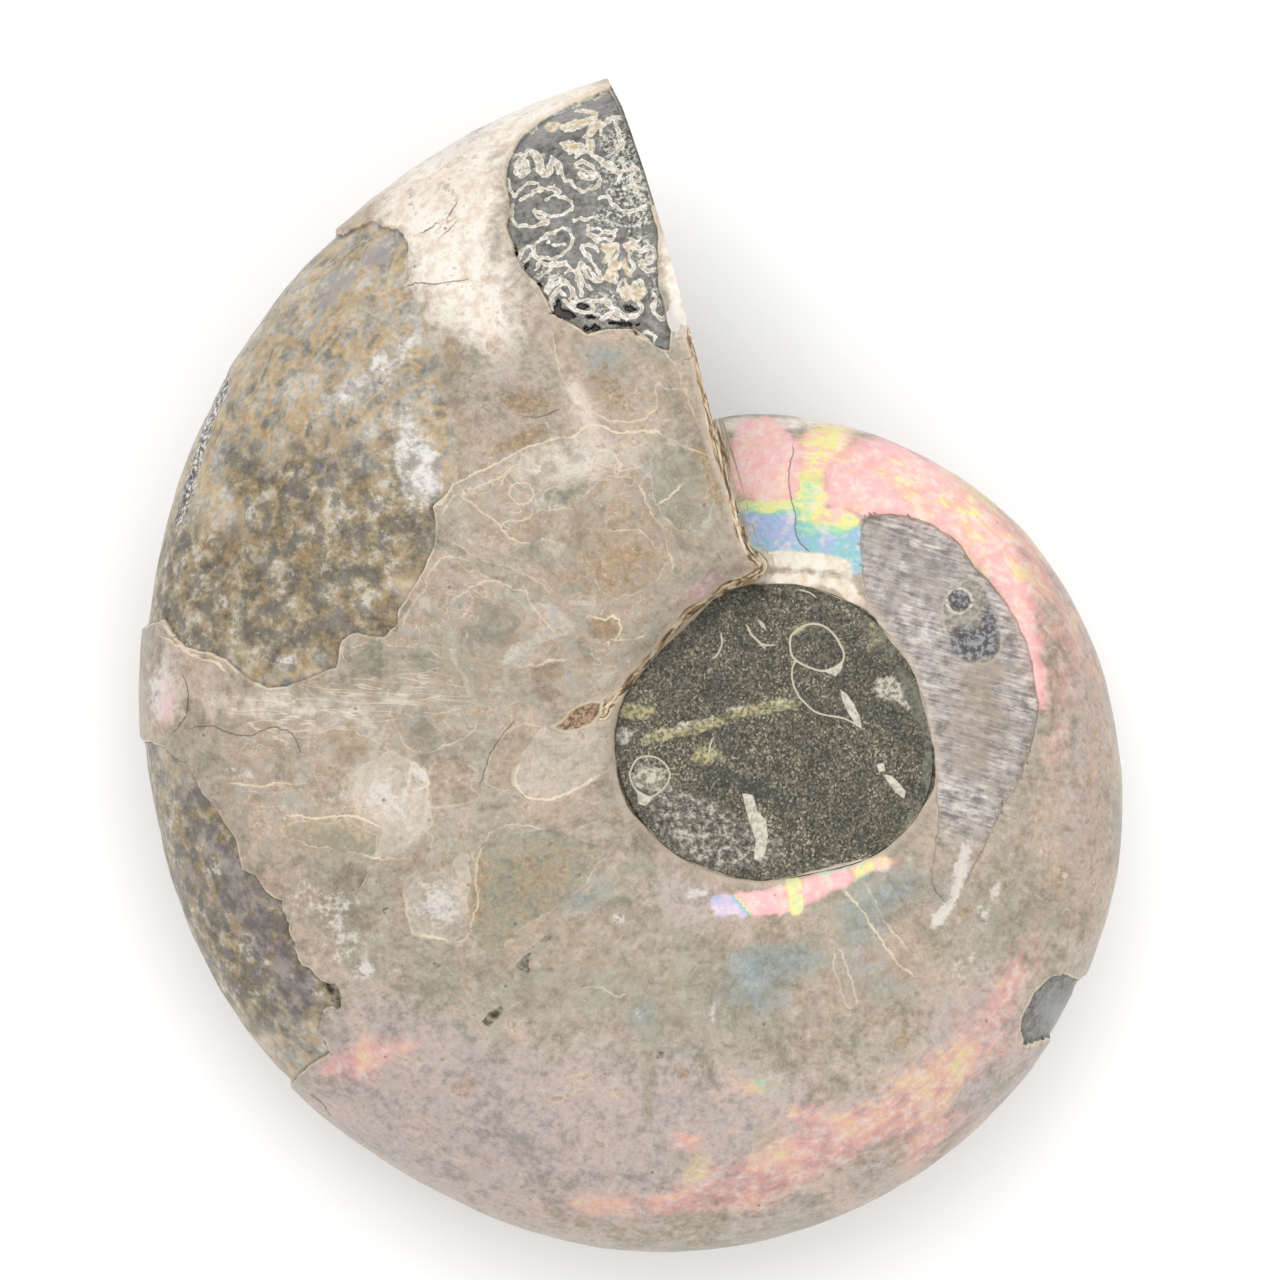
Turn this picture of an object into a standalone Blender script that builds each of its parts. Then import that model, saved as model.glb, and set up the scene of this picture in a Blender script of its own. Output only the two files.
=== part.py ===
"""Polished ammonite lying on its hidden flank, with the shown flank up.

It is shaped in a shell frame: X right and Y up as the shown flank is seen, Z out of that flank,
and the origin on the median plane, at the pole about which the whorl sections are swung. Angles
run clockwise from +Y. A section's place along the coil is given in degrees back from the mouth.
"""
import bpy
import bmesh
import math
from mathutils import Matrix, Vector

MM = 0.001
GAP = 0.3

# Driving dimensions of the coil, in millimetres and degrees
MOUTH_ANGLE = 343.2
OUTER_RADII = (61.6, 62.0, 62.0, 60.8, 59.6, 57.7, 53.8, 50.1, 45.3, 40.1, 35.5, 31.8, 29.0,
               27.3, 26.6, 26.6, 27.0, 28.1, 29.5)
MOUTH_HALF_THICKNESS = 18.5
THICKNESS_GROWTH_PER_TURN = 2.0
CREST_SHARE = 0.33
OUTER_FLANK_POWER = 2.3
WALL_POWER_AT_MOUTH = 2.8
WALL_POWER_FAR = 2.2

# The umbilicus and what fills it
UMBILICUS_RADII = (13.0, 11.5, 10.5, 10.6, 11.6, 11.9, 12.2, 14.4, 16.6, 17.3, 15.4, 14.5)
GROUND_HEIGHT = 11.18
GROUND_SLOPE_X = -0.0405
GROUND_SLOPE_Y = -0.1077
RIM_BELOW_GROUND = 0.05
RIM_DIP = 0.55
RIM_DIP_ANGLE = 350.0
RIM_DIP_REACH = 45.0
SEAT_DEPTH = 5.0
SEAT_DRAFT = 1.4
SEAT_CENTRE_DEPTH = 6.4
SEAT_CENTRE_SHARE = 0.4

# Where the outer shell has flaked off, the stone under it shows one shell thickness lower
SHELL_THICKNESS = 0.55
MOULD_OVERRUN = 0.6
SUTURE_WINDOW = ((-21.6, 62.0), (-16.6, 60.0), (-12.0, 50.0), (-12.4, 35.0), (-16.8, 34.7),
                 (-20.4, 35.4), (-23.8, 38.5), (-26.5, 42.0), (-26.6, 49.4), (-24.6, 53.6))
UPPER_WINDOW = ((-55.0, 48.0), (-38.9, 45.0), (-36.8, 42.6), (-36.0, 37.0), (-32.8, 30.0),
                (-31.4, 22.0), (-34.9, 12.9), (-40.2, 8.7), (-45.8, 4.4), (-52.0, 5.8),
                (-57.4, 8.4), (-70.0, 9.6), (-70.0, 48.0))
LOWER_WINDOW = ((-70.0, -1.5), (-57.0, -1.6), (-53.6, -4.9), (-50.6, -9.6), (-48.0, -14.2),
                (-45.6, -20.4), (-41.6, -24.6), (-43.2, -28.0), (-48.4, -31.8), (-62.0, -34.0),
                (-70.0, -30.0))
RIM_WINDOW = ((19.4, -27.0), (20.9, -23.4), (23.4, -21.6), (34.0, -19.6), (31.0, -33.0),
              (20.0, -34.0))
SHELL_PIT = ((-35.4, -12.6), (-33.2, -12.2), (-32.2, -14.8), (-30.0, -15.6), (-31.0, -18.4),
             (-35.0, -18.0))
LONG_WRAP = 5.2
SHORT_WRAP = 2.3

# The patch ground flat beside the plug, in the same plane as the plug's face
GROUND_PATCH = ((5.0, 25.0), (4.7, 8.0), (6.0, 3.0), (5.0, -8.0), (13.6, -20.0), (30.0, -14.0),
                (30.0, 20.0))

# How it lies: turned about a level line until its hidden flank touches in three places
REST_TURN = 4.188
REST_LINE_ANGLE = 104.43
LAPPED = 0.15

SECTION_COUNT = 66
INNER_STEPS = 7
OUTER_STEPS = 10
PLUG_SIDES = 44
SLIVER = 0.02

SHELL_COLOUR = (0.46, 0.37, 0.29, 1.0)
MATRIX_COLOUR = (0.07, 0.07, 0.045, 1.0)


def clear_scene():
    for old in list(bpy.data.objects):
        bpy.data.objects.remove(old, do_unlink=True)


def material(name, colour, roughness):
    made = bpy.data.materials.new(name)
    made.use_nodes = True
    shader = made.node_tree.nodes["Principled BSDF"]
    shader.inputs["Base Color"].default_value = colour
    shader.inputs["Roughness"].default_value = roughness
    shader.inputs["Metallic"].default_value = 0.0
    return made


def curve_through(before, start, end, after, share):
    """A value on the smooth curve through four evenly spaced ones, between the middle two."""
    slope_in = (end - before) / 2
    slope_out = (after - start) / 2
    square = share * share
    cube = square * share
    return ((2 * cube - 3 * square + 1) * start + (cube - 2 * square + share) * slope_in
            + (3 * square - 2 * cube) * end + (cube - square) * slope_out)


def umbilicus_radius(angle):
    count = len(UMBILICUS_RADII)
    place = (angle % 360) / 360 * count
    first = int(place) % count
    picked = [UMBILICUS_RADII[(first + step) % count] for step in (-1, 0, 1, 2)]
    return curve_through(*picked, place - int(place))


def outer_radius(back):
    last = len(OUTER_RADII) - 1
    place = min(max(back, 0.0), 360.0) / 360 * last
    first = min(int(place), last - 1)
    picked = [OUTER_RADII[min(max(first + step, 0), last)] for step in (-1, 0, 1, 2)]
    return curve_through(*picked, place - first)


def half_thickness(back):
    return MOUTH_HALF_THICKNESS * THICKNESS_GROWTH_PER_TURN ** (-back / 360)


def ground_plane(x, y):
    return GROUND_HEIGHT + GROUND_SLOPE_X * x + GROUND_SLOPE_Y * y


def direction(angle):
    turned = math.radians(angle)
    return math.sin(turned), math.cos(turned)


def filling_height(x, y):
    """Height of the filling's ground face, which dips a little towards the mouth."""
    reach = math.hypot(x, y)
    angle = math.degrees(math.atan2(x, y))
    away = abs((angle - RIM_DIP_ANGLE + 180) % 360 - 180) / RIM_DIP_REACH
    dip = RIM_DIP * max(0.0, 1 - away) * min(1.0, reach / umbilicus_radius(angle))
    return ground_plane(x, y) - RIM_BELOW_GROUND - dip


def section(back, inset):
    """Radius and height of a whorl section's points, from the shown seat round to the crest
    of the venter; the hidden half mirrors it."""
    angle = MOUTH_ANGLE - back
    dx, dy = direction(angle)
    inner = umbilicus_radius(angle)
    rim = filling_height(dx * inner, dy * inner) - inset
    inner += inset
    outer = outer_radius(back) - inset
    top = half_thickness(back) - inset
    crest = inner + CREST_SHARE * (outer - inner)
    centre = SEAT_CENTRE_SHARE * inner
    points = [
        (centre, filling_height(dx * centre, dy * centre) - SEAT_CENTRE_DEPTH - inset),
        (inner - SEAT_DRAFT, rim - SEAT_DEPTH),
        (inner, rim),
    ]
    far = min(back / 180, 1.0)
    wall_power = 2 / (WALL_POWER_AT_MOUTH + (WALL_POWER_FAR - WALL_POWER_AT_MOUTH) * far)
    for step in range(1, INNER_STEPS + 1):
        swing = math.pi / 2 * step / INNER_STEPS
        radius = crest - (crest - inner) * max(math.cos(swing), 0.0) ** wall_power
        points.append((radius, rim + (top - rim) * math.sin(swing) ** wall_power))
    flank_power = 2 / OUTER_FLANK_POWER
    for step in range(1, OUTER_STEPS + 1):
        swing = math.pi / 2 * step / OUTER_STEPS
        radius = crest + (outer - crest) * math.sin(swing) ** flank_power
        points.append((radius, top * max(math.cos(swing), 0.0) ** flank_power))
    return points


def coil_mesh(name, inset, overrun):
    """One turn of whorl sections lofted about the pole, closed by the flat mouth."""
    shape = bmesh.new()
    columns = []
    for number in range(SECTION_COUNT + 1):
        back = 360 * (1 - number / SECTION_COUNT)
        swung = overrun * number / SECTION_COUNT
        dx, dy = direction(MOUTH_ANGLE - back + swung)
        shown = section(back, inset)
        loop = shown + [(radius, -height) for radius, height in reversed(shown[:-1])]
        column = []
        for row, (radius, height) in enumerate(loop):
            in_seat = row < 3 or row >= len(loop) - 3
            if number == SECTION_COUNT and in_seat:
                column.append(columns[0][row])
            else:
                column.append(shape.verts.new((dx * radius, dy * radius, height)))
        columns.append(column)
    rows = len(columns[0])
    for left, right in zip(columns, columns[1:]):
        for row in range(rows - 1):
            shape.faces.new((left[row], right[row], right[row + 1], left[row + 1]))
    for row in (0, rows - 1):
        ring = [column[row] for column in columns[:-1]]
        middle = shape.verts.new((0, 0, ring[0].co.z))
        for corner, after in zip(ring, ring[1:] + ring[:1]):
            shape.faces.new((middle, corner, after))
    mouth = columns[-1][2:rows - 2] + list(reversed(columns[0][3:rows - 3]))
    shape.faces.new(mouth)
    bmesh.ops.scale(shape, vec=(MM, MM, MM), verts=shape.verts)
    bmesh.ops.recalc_face_normals(shape, faces=shape.faces)
    made = bpy.data.meshes.new(name)
    shape.to_mesh(made)
    shape.free()
    return made


def plug_mesh(name, side):
    """The stone that fills one umbilicus, a gap clear of its seat, ground flat on its face."""
    shape = bmesh.new()
    rings = []
    for number in range(PLUG_SIDES):
        angle = 360 * number / PLUG_SIDES
        dx, dy = direction(angle)
        rim = umbilicus_radius(angle) - GAP
        centre = SEAT_CENTRE_SHARE * rim
        foot = rim - SEAT_DRAFT
        levels = [
            (centre, filling_height(dx * centre, dy * centre)),
            (rim, filling_height(dx * rim, dy * rim)),
            (foot, filling_height(dx * foot, dy * foot) - SEAT_DEPTH + 2 * GAP),
            (centre, filling_height(dx * centre, dy * centre) - SEAT_CENTRE_DEPTH + 2 * GAP),
        ]
        rings.append([shape.verts.new((dx * radius, dy * radius, side * height))
                      for radius, height in levels])
    for left, right in zip(rings, rings[1:] + rings[:1]):
        for row in range(len(left) - 1):
            shape.faces.new((left[row], right[row], right[row + 1], left[row + 1]))
    shape.faces.new([ring[0] for ring in rings])
    shape.faces.new([ring[-1] for ring in rings])
    bmesh.ops.scale(shape, vec=(MM, MM, MM), verts=shape.verts)
    bmesh.ops.recalc_face_normals(shape, faces=shape.faces)
    made = bpy.data.meshes.new(name)
    shape.to_mesh(made)
    shape.free()
    return made


def prism_mesh(name, outline, floor, ceiling):
    """An outline raised from a floor, a function of place, to a level ceiling."""
    shape = bmesh.new()
    low = [shape.verts.new((x, y, floor(x, y))) for x, y in outline]
    high = [shape.verts.new((x, y, ceiling)) for x, y in outline]
    shape.faces.new(low)
    shape.faces.new(high)
    for here in range(len(outline)):
        after = (here + 1) % len(outline)
        shape.faces.new((low[here], low[after], high[after], high[here]))
    bmesh.ops.scale(shape, vec=(MM, MM, MM), verts=shape.verts)
    bmesh.ops.recalc_face_normals(shape, faces=shape.faces)
    made = bpy.data.meshes.new(name)
    shape.to_mesh(made)
    shape.free()
    return made


def add_object(name, mesh, collection):
    made = bpy.data.objects.new(name, mesh)
    collection.objects.link(made)
    return made


def add_cutter(name, mesh, collection):
    made = add_object(name, mesh, collection)
    made.hide_render = True
    made.display_type = "WIRE"
    return made


def add_boolean(target, tool, operation):
    modifier = target.modifiers.new(operation.lower() + " " + tool.name, "BOOLEAN")
    modifier.operation = operation
    modifier.solver = "EXACT"
    modifier.object = tool


def apply_modifiers(target):
    """Swap the object's mesh for the one its modifiers give."""
    depsgraph = bpy.context.evaluated_depsgraph_get()
    result = bpy.data.meshes.new_from_object(target.evaluated_get(depsgraph))
    cleaned = bmesh.new()
    cleaned.from_mesh(result)
    bmesh.ops.dissolve_degenerate(cleaned, dist=SLIVER * MM, edges=cleaned.edges)
    cleaned.to_mesh(result)
    cleaned.free()
    target.modifiers.clear()
    target.data = result


def shade(target, colour_material):
    target.data.materials.clear()
    target.data.materials.append(colour_material)
    target.data.shade_smooth()
    target.data.set_sharp_from_angle(angle=math.radians(28))


def level(height):
    return lambda x, y: height


def build():
    clear_scene()
    parts = bpy.data.collections.new("polished_ammonite")
    cutters = bpy.data.collections.new("cutters")
    for made in (parts, cutters):
        bpy.context.scene.collection.children.link(made)

    ammonite = add_object("ammonite", coil_mesh("ammonite", 0.0, 0.0), parts)
    mould = add_cutter("mould", coil_mesh("mould", SHELL_THICKNESS, MOULD_OVERRUN), cutters)
    top = MOUTH_HALF_THICKNESS + 5
    windows = (
        ("suture_window", SUTURE_WINDOW, SHORT_WRAP),
        ("upper_window", UPPER_WINDOW, LONG_WRAP),
        ("lower_window", LOWER_WINDOW, LONG_WRAP),
        ("rim_window", RIM_WINDOW, SHORT_WRAP),
        ("shell_pit", SHELL_PIT, SHORT_WRAP),
    )
    for name, outline, wrap in windows:
        cutter = add_cutter(name, prism_mesh(name, outline, level(-wrap), top), cutters)
        add_boolean(cutter, mould, "DIFFERENCE")
        add_boolean(ammonite, cutter, "DIFFERENCE")
    ground = add_cutter("ground_patch", prism_mesh("ground_patch", GROUND_PATCH, ground_plane, top),
                        cutters)
    add_boolean(ammonite, ground, "DIFFERENCE")
    apply_modifiers(ammonite)

    plugs = [add_object("front_matrix_plug", plug_mesh("front_matrix_plug", 1), parts),
             add_object("back_matrix_plug", plug_mesh("back_matrix_plug", -1), parts)]

    line = Vector((*direction(REST_LINE_ANGLE), 0.0))
    laid = Matrix.Rotation(math.radians(REST_TURN), 4, line)
    placed = [laid @ corner.co for corner in ammonite.data.vertices]
    lowest = [min(point[axis] for point in placed) for axis in range(3)]
    highest = [max(point[axis] for point in placed) for axis in range(3)]
    shift = Vector((-(lowest[0] + highest[0]) / 2, -(lowest[1] + highest[1]) / 2,
                    -lowest[2] - LAPPED * MM))
    for made in [ammonite] + plugs:
        made.matrix_world = Matrix.Translation(shift) @ laid

    below = add_cutter("rest_level", prism_mesh("rest_level", (
        (-80, -80), (80, -80), (80, 80), (-80, 80)), level(-10), 0), cutters)
    add_boolean(ammonite, below, "DIFFERENCE")
    apply_modifiers(ammonite)

    shade(ammonite, material("polished shell and stone", SHELL_COLOUR, 0.25))
    for plug in plugs:
        shade(plug, material("speckled matrix", MATRIX_COLOUR, 0.4))


build()
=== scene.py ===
"""Looks of the polished ammonite: a fine skin over the solid coil, its flaked windows, sutures,
nacre colours and the speckled stone in the umbilicus.

The skin is shaped in the shell frame that the solids use: X right and Y up as the shown flank is
seen, Z out of that flank, in millimetres. A marking's place is given in pixels of the view that
the camera takes, because that is how the flank was measured.
"""
import math
import bpy
import bmesh
import numpy as np
from mathutils import Matrix, Vector


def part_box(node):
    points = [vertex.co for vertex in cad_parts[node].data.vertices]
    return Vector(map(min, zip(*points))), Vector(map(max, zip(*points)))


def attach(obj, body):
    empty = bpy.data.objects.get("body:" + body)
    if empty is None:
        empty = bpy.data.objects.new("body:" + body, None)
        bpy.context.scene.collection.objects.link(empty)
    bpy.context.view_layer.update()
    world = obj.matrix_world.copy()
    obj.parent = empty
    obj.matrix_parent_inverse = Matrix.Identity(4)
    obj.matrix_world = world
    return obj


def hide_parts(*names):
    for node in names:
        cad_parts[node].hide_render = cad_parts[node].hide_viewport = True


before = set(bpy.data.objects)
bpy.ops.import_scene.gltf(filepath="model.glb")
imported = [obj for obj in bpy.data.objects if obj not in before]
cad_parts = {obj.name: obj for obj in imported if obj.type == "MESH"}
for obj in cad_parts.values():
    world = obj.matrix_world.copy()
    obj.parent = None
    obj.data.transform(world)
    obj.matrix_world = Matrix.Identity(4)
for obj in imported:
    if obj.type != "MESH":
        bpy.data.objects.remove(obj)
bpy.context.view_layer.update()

MM = 0.001

# The coil, as its solid has it, in millimetres and degrees; only the shell's step is a little less
# deep than the solid's 0.55
MOUTH_ANGLE = 343.2
OUTER_RADII = (61.6, 62.0, 62.0, 60.8, 59.6, 57.7, 53.8, 50.1, 45.3, 40.1, 35.5, 31.8, 29.0, 27.3,
    26.6, 26.6, 27.0, 28.1, 29.5)
MOUTH_HALF_THICKNESS = 18.5
THICKNESS_GROWTH_PER_TURN = 2.0
CREST_SHARE = 0.33
OUTER_FLANK_POWER = 2.3
WALL_POWER_AT_MOUTH = 2.8
WALL_POWER_FAR = 2.2
UMBILICUS_RADII = (13.0, 11.5, 10.5, 10.6, 11.6, 11.9, 12.2, 14.4, 16.6, 17.3, 15.4, 14.5)
GROUND_HEIGHT = 11.18
GROUND_SLOPE_X = -0.0405
GROUND_SLOPE_Y = -0.1077
RIM_BELOW_GROUND = 0.05
RIM_DIP = 0.55
RIM_DIP_ANGLE = 350.0
RIM_DIP_REACH = 45.0
SEAT_DEPTH = 5.0
SEAT_DRAFT = 1.4
SEAT_CENTRE_DEPTH = 6.4
SEAT_CENTRE_SHARE = 0.4
SHELL_THICKNESS = 0.5
LONG_WRAP = 5.2
SHORT_WRAP = 2.3
PLUG_SIDES = 44
PLUG_GAP = 0.3
PLUG_FOOT_GAP = 0.6
SKIN_GAP = 0.03
REST_TURN = 4.188
REST_LINE_ANGLE = 104.43

# The camera looks down along the shell's own axis, as the photograph does
PIXEL = 0.09
FRAME_PIXELS = 1280
POLE_PIXEL = (808.0, 733.0)
CAMERA_DISTANCE = 575.0
SENSOR = 36.0
CENTRE = FRAME_PIXELS / 2
CAMERA_X = (CENTRE - POLE_PIXEL[0]) * PIXEL
CAMERA_Y = (POLE_PIXEL[1] - CENTRE) * PIXEL

# Fineness of the skin
COLUMNS = 500
WALL_ROWS = 32
FLANK_ROWS = 84
HIDDEN_FLANK_ROWS = 22
HIDDEN_WALL_ROWS = 8
SEAT_ROWS = 3
MOUTH_RINGS = 17
SUTURE_CUTS = 3
SHARP_ANGLE = 42

# Depths of what is cut into the skin, in millimetres, and a distance that counts as far off
FLAKE_DEEPENED = 1.6
CRACK_DEPTH = 0.12
GROOVE_DEPTH = 0.45
PIT_DEPTH = 0.4
MOUTH_DEPTH = 0.35
FAR_OFF = 99.0

# Limits of the fields that hold a distance, in pixels
WIDE = 30
NARROW = 12
SLIM = 4

# The photograph is bright enough to wash out its paper, so its colours are lighter than the real
# ones, and this takes one to the other
OVEREXPOSED = 0.8


def linear(red, green, blue):
    """A colour as the photograph shows it, 0 to 255, as the linear colour that a shader takes."""
    parts = []
    for level in (red, green, blue):
        share = level / 255
        share = share / 12.92 if share <= 0.04045 else ((share + 0.055) / 1.055) ** 2.4
        parts.append(share * OVEREXPOSED)
    return (*parts, 1.0)


def smooth_step(value, low, high):
    share = np.clip((value - low) / (high - low), 0.0, 1.0)
    return share * share * (3 - 2 * share)


def lattice_value(ix, iy, iz, seed):
    """A repeatable number from 0 to 1 at each corner of a lattice."""
    mixed = (ix * 374761393 + iy * 668265263 + iz * 2147483647 + seed * 974711) & 0xFFFFFFFF
    mixed = ((mixed ^ (mixed >> 13)) * 1274126177) & 0xFFFFFFFF
    return ((mixed ^ (mixed >> 16)) & 0xFFFF) / 65535.0


def lumps(x, y, z, size, seed):
    """Smooth noise from -1 to 1 whose lumps are about one size across, its own for each seed."""
    place = [np.asarray(axis, float) / size for axis in (x, y, z)]
    base = [np.floor(axis).astype(np.int64) for axis in place]
    share = [axis - low for axis, low in zip(place, base)]
    share = [part * part * (3 - 2 * part) for part in share]
    total = 0.0
    for corner in range(8):
        step = (corner & 1, corner >> 1 & 1, corner >> 2 & 1)
        weight = 1.0
        for axis in range(3):
            weight = weight * (share[axis] if step[axis] else 1 - share[axis])
        total = total + weight * lattice_value(*(low + up for low, up in zip(base, step)), seed)
    return total * 2 - 1


def curve_through(before, start, end, after, share):
    """The value at a share of the way from start to end, on a smooth curve through all four."""
    slope_in = (end - before) / 2
    slope_out = (after - start) / 2
    square = share * share
    cube = square * share
    return ((2 * cube - 3 * square + 1) * start + (cube - 2 * square + share) * slope_in
            + (3 * square - 2 * cube) * end + (cube - square) * slope_out)


def umbilicus_radius(angle):
    """Radius of the umbilicus at an angle in degrees, clockwise from straight up."""
    radii = np.array(UMBILICUS_RADII)
    count = len(radii)
    place = np.mod(angle, 360) / 360 * count
    first = np.floor(place).astype(int)
    picked = [radii[(first + step) % count] for step in (-1, 0, 1, 2)]
    return curve_through(*picked, place - first)


def outer_radius(back):
    """Radius of the venter so many degrees back from the mouth."""
    radii = np.array(OUTER_RADII)
    last = len(radii) - 1
    place = np.clip(back, 0.0, 360.0) / 360 * last
    first = np.minimum(np.floor(place).astype(int), last - 1)
    picked = [radii[np.clip(first + step, 0, last)] for step in (-1, 0, 1, 2)]
    return curve_through(*picked, place - first)


def half_thickness(back):
    return MOUTH_HALF_THICKNESS * THICKNESS_GROWTH_PER_TURN ** (-back / 360)


def ground_plane(x, y):
    """Height of the flat ground across the shown flank."""
    return GROUND_HEIGHT + GROUND_SLOPE_X * x + GROUND_SLOPE_Y * y


def filling_height(x, y):
    """Height of the stone in the umbilicus, a little below the ground flat."""
    reach = np.hypot(x, y)
    angle = np.degrees(np.arctan2(x, y))
    away = np.abs(np.mod(angle - RIM_DIP_ANGLE + 180, 360) - 180) / RIM_DIP_REACH
    dip = RIM_DIP * np.maximum(0.0, 1 - away) * np.minimum(1.0, reach / umbilicus_radius(angle))
    return ground_plane(x, y) - RIM_BELOW_GROUND - dip


def direction(angle):
    """Steps to the right and up, for an angle clockwise from straight up."""
    turned = np.radians(angle)
    return np.sin(turned), np.cos(turned)


def section(back, wall_rows, flank_rows):
    """Radius and height of the sections' points, seat to venter: one row of arrays per point."""
    dx, dy = direction(MOUTH_ANGLE - back)
    inner = umbilicus_radius(MOUTH_ANGLE - back)
    rim = filling_height(dx * inner, dy * inner)
    outer = outer_radius(back)
    top = half_thickness(back)
    crest = inner + CREST_SHARE * (outer - inner)
    centre = SEAT_CENTRE_SHARE * inner
    points = [
        (centre, filling_height(dx * centre, dy * centre) - SEAT_CENTRE_DEPTH),
        (inner - SEAT_DRAFT, rim - SEAT_DEPTH),
        (inner, rim),
    ]
    far = np.minimum(back / 180, 1.0)
    wall_power = 2 / (WALL_POWER_AT_MOUTH + (WALL_POWER_FAR - WALL_POWER_AT_MOUTH) * far)
    for step in range(1, wall_rows + 1):
        swing = math.pi / 2 * step / wall_rows
        radius = crest - (crest - inner) * max(math.cos(swing), 0.0) ** wall_power
        points.append((radius, rim + (top - rim) * math.sin(swing) ** wall_power))
    flank_power = 2 / OUTER_FLANK_POWER
    for step in range(1, flank_rows + 1):
        swing = math.pi / 2 * step / flank_rows
        radius = crest + (outer - crest) * math.sin(swing) ** flank_power
        points.append((radius, top * max(math.cos(swing), 0.0) ** flank_power))
    return points


def spaced_backs():
    """Places of the sections, evenly spaced along the venter and not in angle."""
    fine = np.linspace(0, 360, 2001)
    run = np.concatenate([[0], np.cumsum(0.5 * (outer_radius(fine[1:]) + outer_radius(fine[:-1])))])
    return np.interp(np.linspace(run[-1], 0, COLUMNS + 1), run, fine)


def coil_grid():
    """The skin's points, faces and places on the coil, before any relief."""
    backs = spaced_backs()
    dx, dy = direction(MOUTH_ANGLE - backs)
    shown = section(backs, WALL_ROWS, FLANK_ROWS)
    hidden = section(backs, HIDDEN_WALL_ROWS, HIDDEN_FLANK_ROWS)
    loop = shown + [(radius, -height) for radius, height in reversed(hidden[:-1])]
    radius = np.array([point[0] for point in loop])
    height = np.array([point[1] for point in loop])
    rows, columns = radius.shape
    places = np.stack([dx * radius, dy * radius, height], -1)

    step = np.linalg.norm(np.diff(places, axis=0), axis=-1)
    across = np.concatenate([np.zeros((1, columns)), np.cumsum(step, axis=0)])
    venter = len(shown) - 1
    across = across[venter] - across
    stride = np.linalg.norm(np.diff(places[venter], axis=0), axis=-1)
    grown = np.tile(np.concatenate([[0], np.cumsum(stride)]), (rows, 1))

    number = np.arange(rows * columns).reshape(rows, columns)
    for row in list(range(SEAT_ROWS)) + list(range(rows - SEAT_ROWS, rows)):
        number[row, -1] = number[row, 0]
    faces = [np.stack([number[:-1, :-1], number[:-1, 1:], number[1:, 1:], number[1:, :-1]],
                      -1).reshape(-1, 4)]

    points = [places.reshape(-1, 3)]
    run = [grown.ravel()]
    reach = [across.ravel()]
    rim = [np.full(rows * columns, -1.0)]
    total = rows * columns

    first, last = SEAT_ROWS - 1, rows - SEAT_ROWS
    edge = number[first:last + 1, -1]
    inner = number[first:last + 1, 0]
    ring_numbers = [edge]
    for ring in range(1, MOUTH_RINGS):
        share = (ring / MOUTH_RINGS) ** 1.4
        spot = points[0][edge] * (1 - share) + points[0][inner] * share
        numbers = np.concatenate([[edge[0]], total + np.arange(len(edge) - 2), [edge[-1]]])
        points.append(spot[1:-1])
        run.append(run[0][edge][1:-1])
        reach.append(reach[0][edge][1:-1])
        rim.append(np.linalg.norm(spot - points[0][edge], axis=1)[1:-1])
        total += len(edge) - 2
        ring_numbers.append(numbers)
    ring_numbers.append(inner)
    triangles = []
    for outer_ring, inner_ring in zip(ring_numbers, ring_numbers[1:]):
        quads = np.stack([outer_ring[:-1], inner_ring[:-1], inner_ring[1:], outer_ring[1:]], -1)
        triangles += [quads[0, 1:], quads[-1, :3]]
        faces.append(quads[1:-1])

    for row in (0, rows - 1):
        points.append(np.array([[0.0, 0.0, height[row, 0]]]))
        run.append([0.0])
        reach.append([0.0])
        rim.append([-1.0])
        ring = number[row, :-1]
        triangles += [np.array([total, here, after])
                      for here, after in zip(ring, np.roll(ring, -1))]
        total += 1
    faces = [face.tolist() for block in faces for face in block]
    faces += [face.tolist() for face in triangles]
    return (np.concatenate(points), faces, np.concatenate(run), np.concatenate(reach),
            np.concatenate(rim))


def seen_at(points):
    """Where the camera's frame shows each point, in pixels."""
    swell = CAMERA_DISTANCE / (CAMERA_DISTANCE - points[:, 2])
    across = CENTRE + (points[:, 0] - CAMERA_X) * swell / PIXEL
    down = CENTRE - (points[:, 1] - CAMERA_Y) * swell / PIXEL
    return across, down


def edge_distance(outline, x, y):
    """Signed distance to a closed outline in pixels, negative inside it."""
    corners = np.array(outline, float)
    nearest = np.full(len(x), 1e9)
    inside = np.zeros(len(x), bool)
    for (ax, ay), (bx, by) in zip(corners, np.roll(corners, -1, axis=0)):
        share = ((x - ax) * (bx - ax) + (y - ay) * (by - ay)) / ((bx - ax) ** 2 + (by - ay) ** 2)
        share = np.clip(share, 0, 1)
        gap = (x - ax - share * (bx - ax)) ** 2 + (y - ay - share * (by - ay)) ** 2
        nearest = np.minimum(nearest, gap)
        if ay != by:
            crosses = (ay > y) != (by > y)
            inside ^= crosses & (x < (bx - ax) * (y - ay) / (by - ay) + ax)
    return np.where(inside, -1, 1) * np.sqrt(nearest)


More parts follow.
